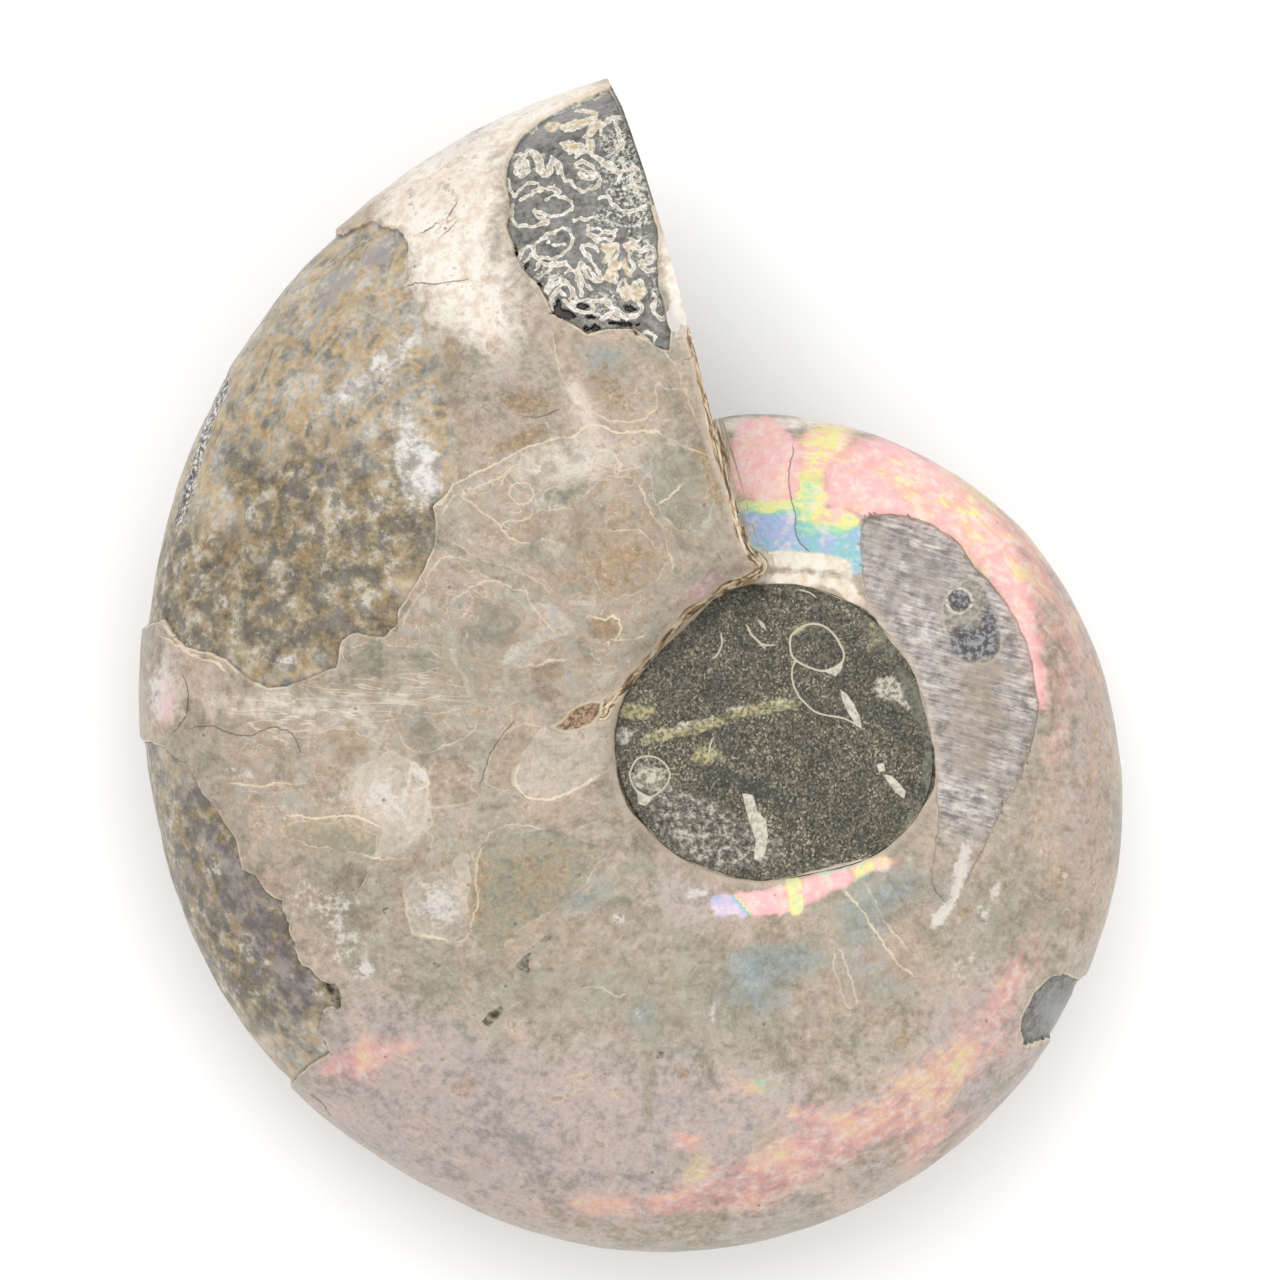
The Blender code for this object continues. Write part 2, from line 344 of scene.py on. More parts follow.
def line_distance(line, x, y):
    """Signed distance to an open line in pixels, negative to the left of its run, and the share
    of the line's pieces that lies before the nearest spot."""
    corners = np.array(line, float)
    nearest = np.full(len(x), 1e9)
    side = np.ones(len(x))
    along = np.zeros(len(x))
    for number, ((ax, ay), (bx, by)) in enumerate(zip(corners, corners[1:])):
        share = ((x - ax) * (bx - ax) + (y - ay) * (by - ay)) / ((bx - ax) ** 2 + (by - ay) ** 2)
        share = np.clip(share, 0, 1)
        gap = (x - ax - share * (bx - ax)) ** 2 + (y - ay - share * (by - ay)) ** 2
        closer = gap < nearest
        nearest = np.where(closer, gap, nearest)
        turn = (bx - ax) * (y - ay) - (by - ay) * (x - ax)
        side = np.where(closer, np.where(turn < 0, -1, 1), side)
        along = np.where(closer, (number + share) / (len(corners) - 1), along)
    return side * np.sqrt(nearest), along


def curved(points, closed=False, steps=5):
    """More points on a smooth line through the given ones."""
    given = np.array(points, float)
    count = len(given)
    spans = count if closed else count - 1
    out = []
    for span in range(spans):
        order = [span - 1, span, span + 1, span + 2]
        if closed:
            picked = [given[index % count] for index in order]
        else:
            picked = [given[min(max(index, 0), count - 1)] for index in order]
        out += [curve_through(*picked, step / steps) for step in range(steps)]
    if not closed:
        out.append(given[-1])
    return np.array(out)


def bloom(x, y, spots):
    """The summed weight of soft ellipses: (across, down, half width, half height, turn, strength),
    the turn clockwise in degrees."""
    total = np.zeros(len(x))
    for cx, cy, wide, high, turn, strength in spots:
        c, s = math.cos(math.radians(turn)), math.sin(math.radians(turn))
        along = ((x - cx) * c + (y - cy) * s) / wide
        over = (-(x - cx) * s + (y - cy) * c) / high
        total += strength * np.exp(-1.4 * (along * along + over * over) ** 1.5)
    return total


# Outlines on the shown flank, in pixels
UPPER_WINDOW = (
    (340, 232), (357, 222), (372, 218), (382, 224), (395, 226), (403, 232), (410, 243),
    (405, 262), (404, 285), (418, 305), (432, 335), (440, 370), (452, 410), (460, 445),
    (455, 483), (434, 507), (435, 527), (433, 551), (425, 568), (412, 588), (400, 609),
    (396, 624), (384, 636), (369, 636), (353, 633), (343, 639), (339, 648), (337, 668),
    (325, 671), (310, 679), (288, 686), (269, 688), (251, 683), (241, 675), (232, 667),
    (225, 661), (212, 654), (199, 651), (184, 646), (171, 633), (162, 620), (140, 628), (60, 640),
    (60, 240))
LOWER_WINDOW = (
    (60, 738), (148, 743), (158, 747), (166, 753), (184, 764), (192, 775), (199, 789), (208, 798),
    (217, 812), (228, 828), (235, 843), (242, 868), (255, 878), (263, 891), (281, 901),
    (286, 919), (293, 945), (301, 964), (319, 980), (334, 985), (341, 1008), (324, 1010),
    (320, 1020), (315, 1033), (327, 1043), (327, 1056), (309, 1066), (298, 1074), (270, 1120),
    (60, 1120))
SUTURE_WINDOW = (
    (640, 70), (606, 86), (590, 93), (573, 100), (552, 110), (529, 126), (516, 140), (508, 158),
    (505, 178), (508, 196), (506, 226), (514, 252), (524, 272), (537, 282), (546, 300),
    (552, 313), (572, 323), (588, 333), (608, 328), (634, 327), (651, 341), (660, 348),
    (669, 350), (669, 331), (664, 310), (659, 290), (656, 262), (658, 236), (656, 225),
    (650, 206), (700, 190))
RIM_WINDOW = (
    (1021, 1032), (1024, 1012), (1034, 994), (1050, 979), (1066, 973), (1079, 980), (1130, 960),
    (1120, 1020), (1062, 1036), (1040, 1044), (1026, 1046))
PLUG_OUTLINE = (
    (762, 584), (798, 585), (834, 596), (866, 610), (888, 637), (907, 661), (919, 690),
    (929, 729), (935, 758), (934, 787), (919, 811), (895, 840), (871, 857), (847, 862),
    (810, 872), (779, 879), (750, 880), (716, 872), (677, 855), (653, 833), (631, 811),
    (619, 782), (615, 746), (616, 722), (624, 697), (653, 659), (682, 630), (716, 598),
    (738, 587))
GROUND_PATCH = (
    (863, 520), (890, 516), (919, 520), (953, 537), (969, 560), (997, 593), (1020, 627),
    (1034, 675), (1037, 717), (1023, 773), (1004, 805), (985, 845), (968, 880), (950, 905),
    (932, 880), (938, 830), (936, 773), (933, 745), (924, 708), (910, 672), (891, 641),
    (868, 602), (861, 560))

# Where the mouth's shown edge stands proud of a straight cut, in millimetres by its radius
MOUTH_SWELL_RADII = (14.0, 16.0, 19.0, 27.0, 35.0, 46.0, 52.0, 58.0, 62.0)
MOUTH_SWELL = (0.0, -0.05, -0.8, -0.55, -0.17, 0.19, 0.2, 0.1, -0.4)


def shell_frame():
    """The turn and shift that take the shell frame, in metres, to where the solids lie."""
    line = Vector((*direction(REST_LINE_ANGLE), 0.0))
    laid = Matrix.Rotation(math.radians(REST_TURN), 4, line)
    corners = []
    for number in range(PLUG_SIDES):
        angle = 360 * number / PLUG_SIDES
        dx, dy = direction(angle)
        rim = float(umbilicus_radius(angle)) - PLUG_GAP
        centre = SEAT_CENTRE_SHARE * rim
        foot = rim - SEAT_DRAFT
        for radius, drop in ((centre, 0), (rim, 0), (foot, SEAT_DEPTH - PLUG_FOOT_GAP),
                             (centre, SEAT_CENTRE_DEPTH - PLUG_FOOT_GAP)):
            height = float(filling_height(dx * radius, dy * radius)) - drop
            corners.append(laid @ (Vector((dx * radius, dy * radius, height)) * MM))
    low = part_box("front_matrix_plug")[0]
    shift = Vector([low[axis] - min(corner[axis] for corner in corners) for axis in range(3)])
    return Matrix.Translation(shift) @ laid


def mesh_from(name, points, faces):
    made = bpy.data.meshes.new(name)
    made.from_pydata([tuple(point) for point in points], [], faces)
    made.update()
    return made


def face_outward(mesh):
    """Turn every face to look outward, and leave out the points that no face uses."""
    shape = bmesh.new()
    shape.from_mesh(mesh)
    unused = [vert for vert in shape.verts if not vert.link_faces]
    bmesh.ops.delete(shape, geom=unused, context="VERTS")
    bmesh.ops.recalc_face_normals(shape, faces=shape.faces[:])
    shape.to_mesh(mesh)
    shape.free()
    mesh.update()


def above_paper(points, laid):
    """The points with whatever would sink below the paper brought up to it."""
    turn = np.array(laid.to_3x3())
    shift = np.array(laid.translation) / MM
    world = points @ turn.T + shift
    world[:, 2] = np.maximum(world[:, 2], 0.0)
    return (world - shift) @ turn


def finished(name, mesh, laid):
    """An object of that mesh, smooth, taken from the shell frame to where the solids lie."""
    mesh.update()
    mesh.shade_smooth()
    mesh.set_sharp_from_angle(angle=math.radians(SHARP_ANGLE))
    mesh.transform(laid)
    piece = bpy.data.objects.new(name, mesh)
    bpy.context.scene.collection.objects.link(piece)
    return piece


def set_field(mesh, name, values):
    layer = mesh.attributes.new(name, "FLOAT", "POINT")
    layer.data.foreach_set("value", np.ascontiguousarray(values, dtype=np.float32))


def set_fields(mesh, fields):
    """Write the fields three to a layer, because each layer that a material reads costs time."""
    names = list(fields)
    for first in range(0, len(names), 3):
        trio = names[first:first + 3]
        values = np.zeros((len(mesh.vertices), 3), np.float32)
        for column, name in enumerate(trio):
            values[:, column] = fields[name]
        layer = mesh.attributes.new(" ".join(trio), "FLOAT_VECTOR", "POINT")
        layer.data.foreach_set("vector", values.ravel())


def read_field(mesh, name):
    values = np.zeros(len(mesh.vertices), np.float32)
    mesh.attributes[name].data.foreach_get("value", values)
    return values.astype(float)


def read_points(mesh):
    values = np.zeros(len(mesh.vertices) * 3, np.float32)
    mesh.vertices.foreach_get("co", values)
    return values.reshape(-1, 3).astype(float)


def read_normals(mesh):
    values = np.zeros(len(mesh.vertices) * 3, np.float32)
    mesh.vertex_normals.foreach_get("vector", values)
    return values.reshape(-1, 3).astype(float)


def refine(mesh, chosen, cuts):
    """Cut each face whose corners are all chosen into smaller ones."""
    shape = bmesh.new()
    shape.from_mesh(mesh)
    shape.verts.ensure_lookup_table()
    edges = set()
    for face in shape.faces:
        if all(chosen[corner.index] for corner in face.verts):
            edges.update(face.edges)
    bmesh.ops.subdivide_edges(shape, edges=list(edges), cuts=cuts, use_grid_fill=True)
    shape.to_mesh(mesh)
    shape.free()
    mesh.update()


def snap(points, normals, field, reach, sliver):
    """Slide points along the surface to just either side of a signed field's edge, in pixels."""
    x, y = seen_at(points)
    here = field(x, y)
    slope_x = field(x + 0.5, y) - here
    slope_y = field(x, y + 0.5) - here
    steep = np.maximum(np.hypot(slope_x, slope_y) * 2, 1e-6)
    near = (np.abs(here) < reach) & (normals[:, 2] > 0.35) & (points[:, 2] > 0)
    target = np.where(here < 0, -sliver, sliver)
    move = np.where(near, target - here, 0.0) / steep
    dx = move * slope_x * 2 / steep * PIXEL
    dy = -move * slope_y * 2 / steep * PIXEL
    dz = -(normals[:, 0] * dx + normals[:, 1] * dy) / np.where(near, normals[:, 2], 1.0)
    return points + np.stack([dx, dy, dz], -1)


# Flake edges with a cream line: the drop in millimetres to the left of the line's run, the points
FLAKE_EDGES = (
    (0.20, ((434, 507), (442, 503), (448, 492), (455, 483), (478, 472), (500, 462), (522, 449),
     (546, 441), (561, 437), (573, 438), (580, 431), (588, 426), (603, 426), (613, 432),
     (633, 433), (658, 433), (674, 439), (686, 447), (699, 452), (714, 457))),
    (0.08, ((501, 660), (510, 662), (519, 666), (531, 665), (540, 665), (550, 660), (563, 660))),
    (0.06, ((591, 617), (603, 620), (614, 618), (620, 626), (619, 636), (609, 641), (642, 636))),
    (0.05, ((235, 784), (256, 786), (281, 783), (304, 783))),
    (0.06, ((293, 816), (318, 819), (342, 818), (360, 819), (378, 827))),
    (0.05, ((373, 857), (388, 859), (403, 858))),
    (0.05, ((409, 783), (413, 764), (420, 770), (429, 784), (418, 788))),
    (0.10, ((405, 888), (408, 912), (413, 932), (433, 938), (459, 942), (468, 935))),
    (0.08, ((517, 768), (516, 784), (523, 796), (535, 801), (552, 800), (572, 792), (590, 781),
     (606, 770))),
    (0.06, ((846, 892), (856, 903), (868, 920), (880, 940), (894, 958), (910, 973))),
    (0.05, ((961, 867), (959, 884), (955, 900), (945, 913), (933, 923))),
    (0.05, ((662, 502), (671, 496), (679, 487))),
    (0.06, ((166, 638), (183, 650), (196, 657), (212, 661), (224, 670))),
    (0.08, ((762, 566), (782, 562), (806, 561), (826, 562), (846, 569))),
)
# Finer cream lines that lie close to those: the same form
FLAKE_LINES = (
    (0.12, ((556, 326), (555, 345), (558, 368), (566, 382), (575, 393), (584, 403), (593, 412),
     (606, 420), (618, 422), (636, 423), (648, 416), (657, 407), (656, 398), (654, 389),
     (659, 383), (666, 388), (681, 388))),
    (0.06, ((561, 461), (570, 466), (583, 459), (599, 452), (613, 452), (619, 458), (629, 451),
     (641, 446))),
    (0.07, ((499, 523), (512, 521), (525, 519), (540, 509), (550, 510), (566, 509), (581, 505),
     (588, 492), (593, 479), (603, 474), (619, 474))),
    (0.05, ((591, 476), (606, 469), (619, 471), (641, 468))),
    (0.05, ((462, 496), (478, 508), (488, 517), (499, 523), (512, 541), (529, 544), (540, 540))),
    (0.04, ((509, 489), (517, 483), (530, 485), (533, 494), (528, 503), (517, 503), (509, 498),
     (509, 489))),
    (0.04, ((522, 587), (530, 600), (537, 613), (548, 624), (558, 633))),
    (0.05, ((445, 510), (458, 493), (480, 486), (497, 478), (514, 468))),
    (0.04, ((840, 951), (846, 966), (852, 985), (857, 1004), (849, 1008), (841, 990), (834, 968),
     (835, 953))),
    (0.04, ((667, 353), (676, 366), (684, 386), (691, 409), (699, 424), (707, 437), (714, 456))),
    (0.03, ((555, 316), (570, 325), (583, 333), (593, 335), (606, 328), (619, 326), (633, 335),
     (646, 340), (659, 348), (667, 353))),
    (0.04, ((293, 696), (330, 699), (372, 694), (408, 700), (440, 697), (468, 702))),
    (0.04, ((300, 712), (340, 708), (371, 714), (412, 716), (452, 711))),
    (0.04, ((947, 602), (950, 593), (959, 589), (968, 593), (972, 602), (968, 611), (959, 615),
     (950, 611), (947, 602))),
    (0.04, ((578, 989), (594, 985), (614, 995), (627, 994))),
    (0.05, ((868, 888), (880, 912), (896, 936), (912, 953))),
    (0.05, ((640, 488), (648, 505), (655, 518), (665, 530), (668, 548), (673, 568))),
    (0.04, ((615, 531), (635, 529), (648, 536), (656, 547))),
    (0.05, ((403, 624), (410, 606), (424, 589), (431, 572), (440, 561), (452, 558), (463, 560))),
    (0.05, ((455, 600), (468, 590), (484, 582), (500, 580), (512, 588))),
    (0.05, ((398, 728), (405, 745), (418, 752), (440, 748), (462, 738), (476, 728))),
    (0.04, ((470, 925), (478, 905), (476, 880), (480, 856), (490, 832), (512, 824), (540, 828))),
    (0.03, ((352, 892), (362, 884), (367, 870), (380, 862))),
    (0.06, ((252, 989), (262, 992), (273, 997), (283, 1004), (293, 1007))),
)
# Dark cracks
CRACKS = (
    ((408, 285), (420, 283), (434, 284), (450, 282), (464, 279)),
    ((182, 674), (187, 692), (187, 709), (181, 722), (173, 732)),
    ((193, 727), (212, 726), (223, 731), (234, 734), (251, 736), (260, 731), (273, 727),
     (286, 731), (295, 739), (301, 750)),
    ((525, 416), (538, 417), (555, 410)),
    ((513, 723), (503, 733), (495, 746), (488, 758), (485, 769), (480, 784)),
    ((687, 360), (696, 354)),
    ((793, 450), (789, 470), (790, 490), (795, 515), (797, 537), (807, 550)),
    ((448, 216), (456, 203)),
    ((425, 231), (436, 224)),
    ((443, 234), (454, 224)),
    ((360, 886), (366, 873)),
    ((309, 1094), (318, 1100), (326, 1109)),
)
# Sutures, in sixths of a pixel from this corner, as they were measured on an enlarged view
SUTURE_CORNER = (480.0, 70.0)
SUTURE_SCALE = 6.03
SUTURES = (
    ((290, 340), (345, 285), (420, 240), (490, 208), (560, 180), (650, 142), (740, 110),
     (772, 88)),
    ((575, 212), (640, 222), (692, 240), (680, 262), (640, 272), (590, 286), (535, 304),
     (480, 326)),
    ((500, 332), (560, 326), (620, 302), (680, 286), (716, 290)),
    ((628, 386), (640, 350), (662, 312), (700, 290), (716, 300), (692, 340), (662, 368),
     (630, 386)),
    ((722, 350), (735, 312), (762, 280), (802, 266), (850, 274), (872, 300)),
    ((800, 290), (824, 330), (840, 382), (846, 430), (832, 466), (808, 482)),
    ((490, 414), (530, 416), (572, 430), (612, 440), (600, 466), (560, 472), (520, 452),
     (490, 414)),
    ((650, 394), (640, 430), (656, 462), (676, 440), (664, 400)),
    ((570, 500), (604, 486), (642, 480), (700, 510), (740, 550), (782, 590), (830, 612),
     (862, 590)),
    ((890, 592), (922, 570), (960, 590), (980, 622), (950, 652), (920, 640), (900, 618)),
    ((465, 540), (480, 600), (510, 650), (542, 656), (562, 690), (610, 716), (662, 710),
     (702, 690), (722, 650), (702, 600), (670, 560), (620, 534), (570, 545), (590, 580),
     (640, 590), (680, 602)),
    ((600, 622), (640, 640), (684, 640)),
    ((300, 470), (330, 520), (344, 580), (380, 614), (416, 590), (432, 540), (442, 504),
     (460, 522), (470, 560)),
    ((340, 476), (356, 520), (366, 566), (384, 588), (400, 560), (410, 520), (424, 496)),
    ((200, 560), (214, 530), (246, 524), (276, 545), (286, 580), (260, 612), (226, 602),
     (204, 570)),
    ((216, 574), (240, 550), (262, 580), (240, 590)),
    ((188, 504), (220, 480), (258, 500), (280, 470), (304, 458), (340, 470), (352, 504)),
    ((150, 640), (164, 690), (190, 732)),
    ((200, 742), (225, 705), (262, 675), (310, 658), (342, 675), (330, 712), (295, 742),
     (245, 768)),
    ((300, 738), (322, 712), (355, 698), (400, 688), (440, 694), (470, 718), (458, 736),
     (428, 744), (392, 768)),
    ((470, 748), (498, 748), (528, 764), (550, 800), (542, 826), (508, 846), (470, 868),
     (430, 868), (382, 852), (345, 836), (318, 838), (330, 862), (362, 880), (394, 892),
     (378, 912), (322, 926), (262, 922), (205, 912), (182, 880), (176, 838), (188, 802)),
    ((252, 1182), (236, 1150), (240, 1108), (256, 1072), (282, 1050), (304, 1068), (312, 1100)),
    ((330, 1118), (316, 1080), (324, 1045), (358, 1004), (392, 988), (430, 972), (480, 944),
     (526, 950), (550, 978), (544, 1022), (520, 1066), (478, 1102), (430, 1136), (392, 1128),
     (352, 1124)),
    ((360, 1150), (402, 1166), (452, 1160), (510, 1150), (484, 1170), (430, 1188), (398, 1202)),
    ((395, 1030), (402, 1014), (414, 1030)),
    ((440, 1040), (470, 1046), (500, 1036)),
    ((640, 930), (650, 970), (690, 1000), (720, 980), (742, 960), (800, 970), (790, 1010),
     (732, 1010), (700, 1022)),
    ((712, 1082), (680, 1050), (640, 1044), (614, 1052), (622, 1084), (660, 1130), (690, 1172),
     (712, 1222), (722, 1266)),
    ((600, 1160), (622, 1164), (652, 1190), (682, 1230), (712, 1266), (650, 1242), (620, 1202),
     (600, 1160)),
    ((740, 1050), (780, 1050), (822, 1044), (826, 1080), (802, 1130), (780, 1180), (745, 1250)),
    ((765, 1222), (800, 1190), (822, 1270), (790, 1266)),
    ((870, 1040), (890, 1090), (902, 1140), (922, 1160), (902, 1222), (880, 1190), (850, 1150),
     (838, 1184)),
    ((880, 1035), (920, 1028), (962, 1060), (920, 1056)),
    ((900, 950), (890, 990), (922, 1020), (962, 1000)),
    ((980, 1080), (1030, 1070), (1050, 1100), (1002, 1130)),
    ((960, 1170), (1002, 1195), (1052, 1186)),
    ((830, 1300), (870, 1260), (890, 1300), (920, 1300), (950, 1260), (980, 1290), (992, 1330),
     (960, 1360), (930, 1372)),
    ((830, 1330), (870, 1370), (902, 1360), (942, 1390), (972, 1430), (950, 1476), (900, 1492),
     (840, 1470), (800, 1430), (770, 1380), (748, 1358)),
    ((400, 1340), (420, 1300), (460, 1275), (500, 1264), (532, 1290), (546, 1330), (530, 1372)),
    ((450, 1342), (480, 1318), (500, 1342)),
    ((510, 1215), (542, 1198), (580, 1210), (602, 1240), (612, 1290), (600, 1342)),
    ((600, 1160), (590, 1202), (620, 1262), (662, 1312)),
    ((430, 1380), (420, 1420), (440, 1450)),
    ((500, 1380), (540, 1420), (562, 1380), (602, 1402), (640, 1380), (680, 1402), (742, 1370),
     (782, 1420), (830, 1452)),
    ((560, 1440), (622, 1450), (702, 1470), (762, 1480), (830, 1502)),
    ((1040, 1350), (1062, 1380), (1040, 1430), (1070, 1480), (1112, 1502)),
    ((760, 540), (800, 556), (834, 600), (826, 650)),
    ((860, 700), (900, 690), (934, 712), (960, 760)),
    ((720, 760), (760, 748), (780, 790), (850, 830), (920, 838), (990, 806)),
    ((560, 900), (600, 876), (650, 890), (700, 860)),
)
SUTURE_WIDTH = 1.95
# Smaller ones, in pixels
SMALL_SUTURES = (
    ((600, 132), (602, 121), (610, 115), (618, 114), (624, 118)),
    ((613, 121), (617, 130), (617, 142), (613, 150)),
    ((568, 150), (580, 148), (592, 152), (603, 158), (610, 166), (618, 170), (624, 164),
     (620, 156)),
    ((578, 171), (588, 174), (595, 172)),
    ((628, 166), (634, 168), (630, 176), (636, 184), (644, 188)),
    ((512, 150), (520, 153), (515, 160), (513, 168), (520, 173), (527, 168), (526, 158)),
    ((534, 152), (538, 160), (540, 168), (546, 171), (550, 164), (549, 154), (555, 160),
     (556, 170)),
    ((561, 262), (570, 268), (576, 276), (580, 288)),
    ((550, 296), (557, 288), (566, 282), (572, 290), (576, 300)),
    ((545, 290), (549, 280), (556, 276), (562, 282)),
    ((592, 300), (604, 302), (616, 308), (628, 314), (638, 312), (640, 304), (634, 296),
     (626, 298)),
    ((655, 300), (650, 306), (656, 314), (662, 320), (666, 314)),
    ((600, 318), (612, 312), (626, 318)),
    ((640, 336), (648, 332), (654, 338), (650, 344)),
    ((615, 228), (606, 230), (596, 226), (588, 232), (594, 240)),
    ((640, 250), (650, 246), (656, 254), (648, 262), (640, 260)),
    ((571, 306), (582, 300), (592, 306), (584, 312)),
    ((524, 262), (530, 254), (538, 258), (534, 268)),
)
# Golden blades between the sutures, in pixels
BLADES = (
    ((576, 104), (585, 105), (597, 108), (596, 112), (586, 110), (578, 107)),
    ((542, 122), (546, 117), (556, 118), (562, 121), (556, 124), (552, 128), (546, 127)),
    ((558, 125), (566, 119), (577, 116), (598, 115), (590, 120), (576, 123), (566, 125)),
    ((584, 134), (588, 125), (594, 118), (600, 115), (601, 120), (595, 128), (589, 133)),
    ((561, 139), (570, 138), (580, 143), (582, 147), (574, 146), (568, 148), (564, 144)),
    ((588, 137), (591, 134), (593, 146), (588, 146), (585, 142)),
    ((598, 247), (606, 241), (615, 241), (617, 246), (611, 256), (606, 262), (600, 262),
     (606, 252)),
    ((600, 278), (606, 268), (614, 256), (620, 262), (616, 276), (610, 281), (604, 279)),
    ((618, 262), (625, 256), (628, 266), (632, 276), (626, 274)),
    ((622, 246), (628, 241), (638, 244), (634, 248), (626, 248)),
    ((618, 287), (626, 283), (632, 288), (637, 282), (640, 287), (646, 285), (644, 296),
     (636, 301), (628, 298), (620, 294)),
)
# Where the dark stone has white grains: soft spots as further below
ROUGH = (
    (622, 140, 26, 26, 0, 1.0), (628, 190, 30, 32, 0, 1.0), (640, 245, 18, 20, 0, 0.8),
    (655, 290, 12, 30, 0, 0.8), (600, 305, 50, 20, 0, 0.6), (590, 170, 30, 20, 0, 0.4),
    (620, 216, 40, 10, 0, 1.2), (545, 275, 26, 16, 0, 0.7), (530, 160, 26, 16, 0, 0.5))

# Flakes of the polished shell with a sharp edge, by their tint
TAN_FLAKES = (
    ((428, 782), (430, 765), (442, 757), (455, 760), (470, 768), (474, 780), (472, 792),
     (481, 792), (475, 801), (455, 804), (440, 809), (430, 806)),
    ((400, 862), (408, 850), (415, 838), (422, 832), (436, 835), (432, 848), (427, 860),
     (420, 866)),
    ((484, 785), (487, 770), (492, 755), (500, 740), (510, 728), (524, 722), (545, 728),
     (536, 748), (531, 768), (517, 787), (500, 793)),
    ((588, 492), (597, 478), (619, 474), (638, 480), (648, 505), (655, 518), (665, 530),
     (668, 548), (660, 575), (640, 592), (615, 600), (600, 590), (590, 566), (583, 548),
     (560, 546), (540, 540), (525, 543), (510, 538), (503, 526), (525, 519), (540, 509),
     (581, 505)),
    ((308, 732), (340, 728), (372, 736), (388, 750), (352, 756), (340, 775), (345, 795),
     (325, 800), (312, 775)),
)
OLIVE_FLAKES = (
    ((298, 822), (330, 820), (350, 819), (368, 826), (378, 836), (376, 852), (368, 858),
     (340, 852), (310, 846), (290, 838), (280, 828)),
    ((655, 452), (670, 446), (690, 452), (704, 464), (712, 480), (716, 505), (706, 522),
     (690, 532), (675, 528), (664, 516), (654, 498), (650, 478)),
    ((440, 540), (462, 548), (486, 560), (512, 566), (530, 578), (548, 592), (560, 606),
     (545, 606), (524, 596), (505, 585), (482, 578), (462, 566), (446, 556)),
    ((340, 648), (362, 642), (400, 645), (432, 652), (446, 664), (420, 674), (380, 672),
     (350, 668)),
    ((540, 498), (552, 486), (566, 485), (576, 494), (580, 504), (562, 508), (545, 508)),
    ((474, 850), (500, 836), (540, 830), (580, 836), (606, 850), (588, 882), (556, 906),
     (528, 926), (502, 946), (480, 955), (472, 925), (478, 885)),
)
UMBER_FLAKES = (
    ((592, 622), (603, 619), (614, 619), (620, 627), (618, 637), (608, 641), (596, 637),
     (588, 632)),
    ((332, 872), (345, 862), (362, 862), (368, 868), (362, 882), (353, 892), (336, 888),
     (328, 880)),
    ((423, 927), (436, 929), (450, 928), (461, 927), (459, 936), (440, 939), (425, 935)),
    ((527, 664), (545, 661), (562, 665), (566, 676), (552, 682), (534, 680)),
    ((530, 690), (548, 686), (562, 692), (558, 700), (540, 701)),
    ((430, 862), (438, 858), (446, 864), (444, 874), (434, 872)),
)
PALE_FLAKES = (
    ((516, 784), (531, 800), (549, 800), (570, 793), (590, 781), (608, 765), (614, 742),
     (608, 716), (596, 720), (583, 731), (554, 731), (541, 729), (526, 750), (516, 770)),
    ((352, 794), (356, 774), (372, 760), (392, 753), (410, 757), (416, 762), (424, 776),
     (430, 800), (428, 812), (437, 824), (420, 833), (408, 843), (400, 853), (377, 855),
     (380, 842), (382, 828), (372, 820), (356, 812)),
    ((409, 783), (413, 762), (420, 770), (429, 784), (420, 790)),
    ((405, 886), (420, 882), (440, 885), (458, 878), (452, 862), (464, 850), (470, 868),
     (468, 898), (466, 925), (458, 938), (440, 940), (415, 935), (408, 910)),
    ((503, 655), (512, 642), (530, 648), (540, 659), (532, 666), (518, 667), (508, 662)),
)
# Places where a chip of the shell is gone
CHIPS = (
    ((512, 964), (520, 961), (525, 954), (531, 952), (530, 960), (528, 964), (530, 972),
     (522, 971)),
    ((530, 946), (538, 942), (541, 946), (534, 950)),
    ((544, 937), (551, 929), (557, 933), (549, 941)),
    ((482, 1022), (489, 1012), (498, 1010), (501, 1002), (504, 1008), (498, 1018), (489, 1028)),
    ((322, 984), (337, 983), (342, 1000), (339, 1011), (331, 1006), (327, 996)),
    ((382, 907), (389, 907), (389, 914), (382, 914)),
    ((432, 962), (441, 962), (442, 968), (434, 968)),
    ((656, 1051), (664, 1051), (664, 1059), (656, 1059)),
)
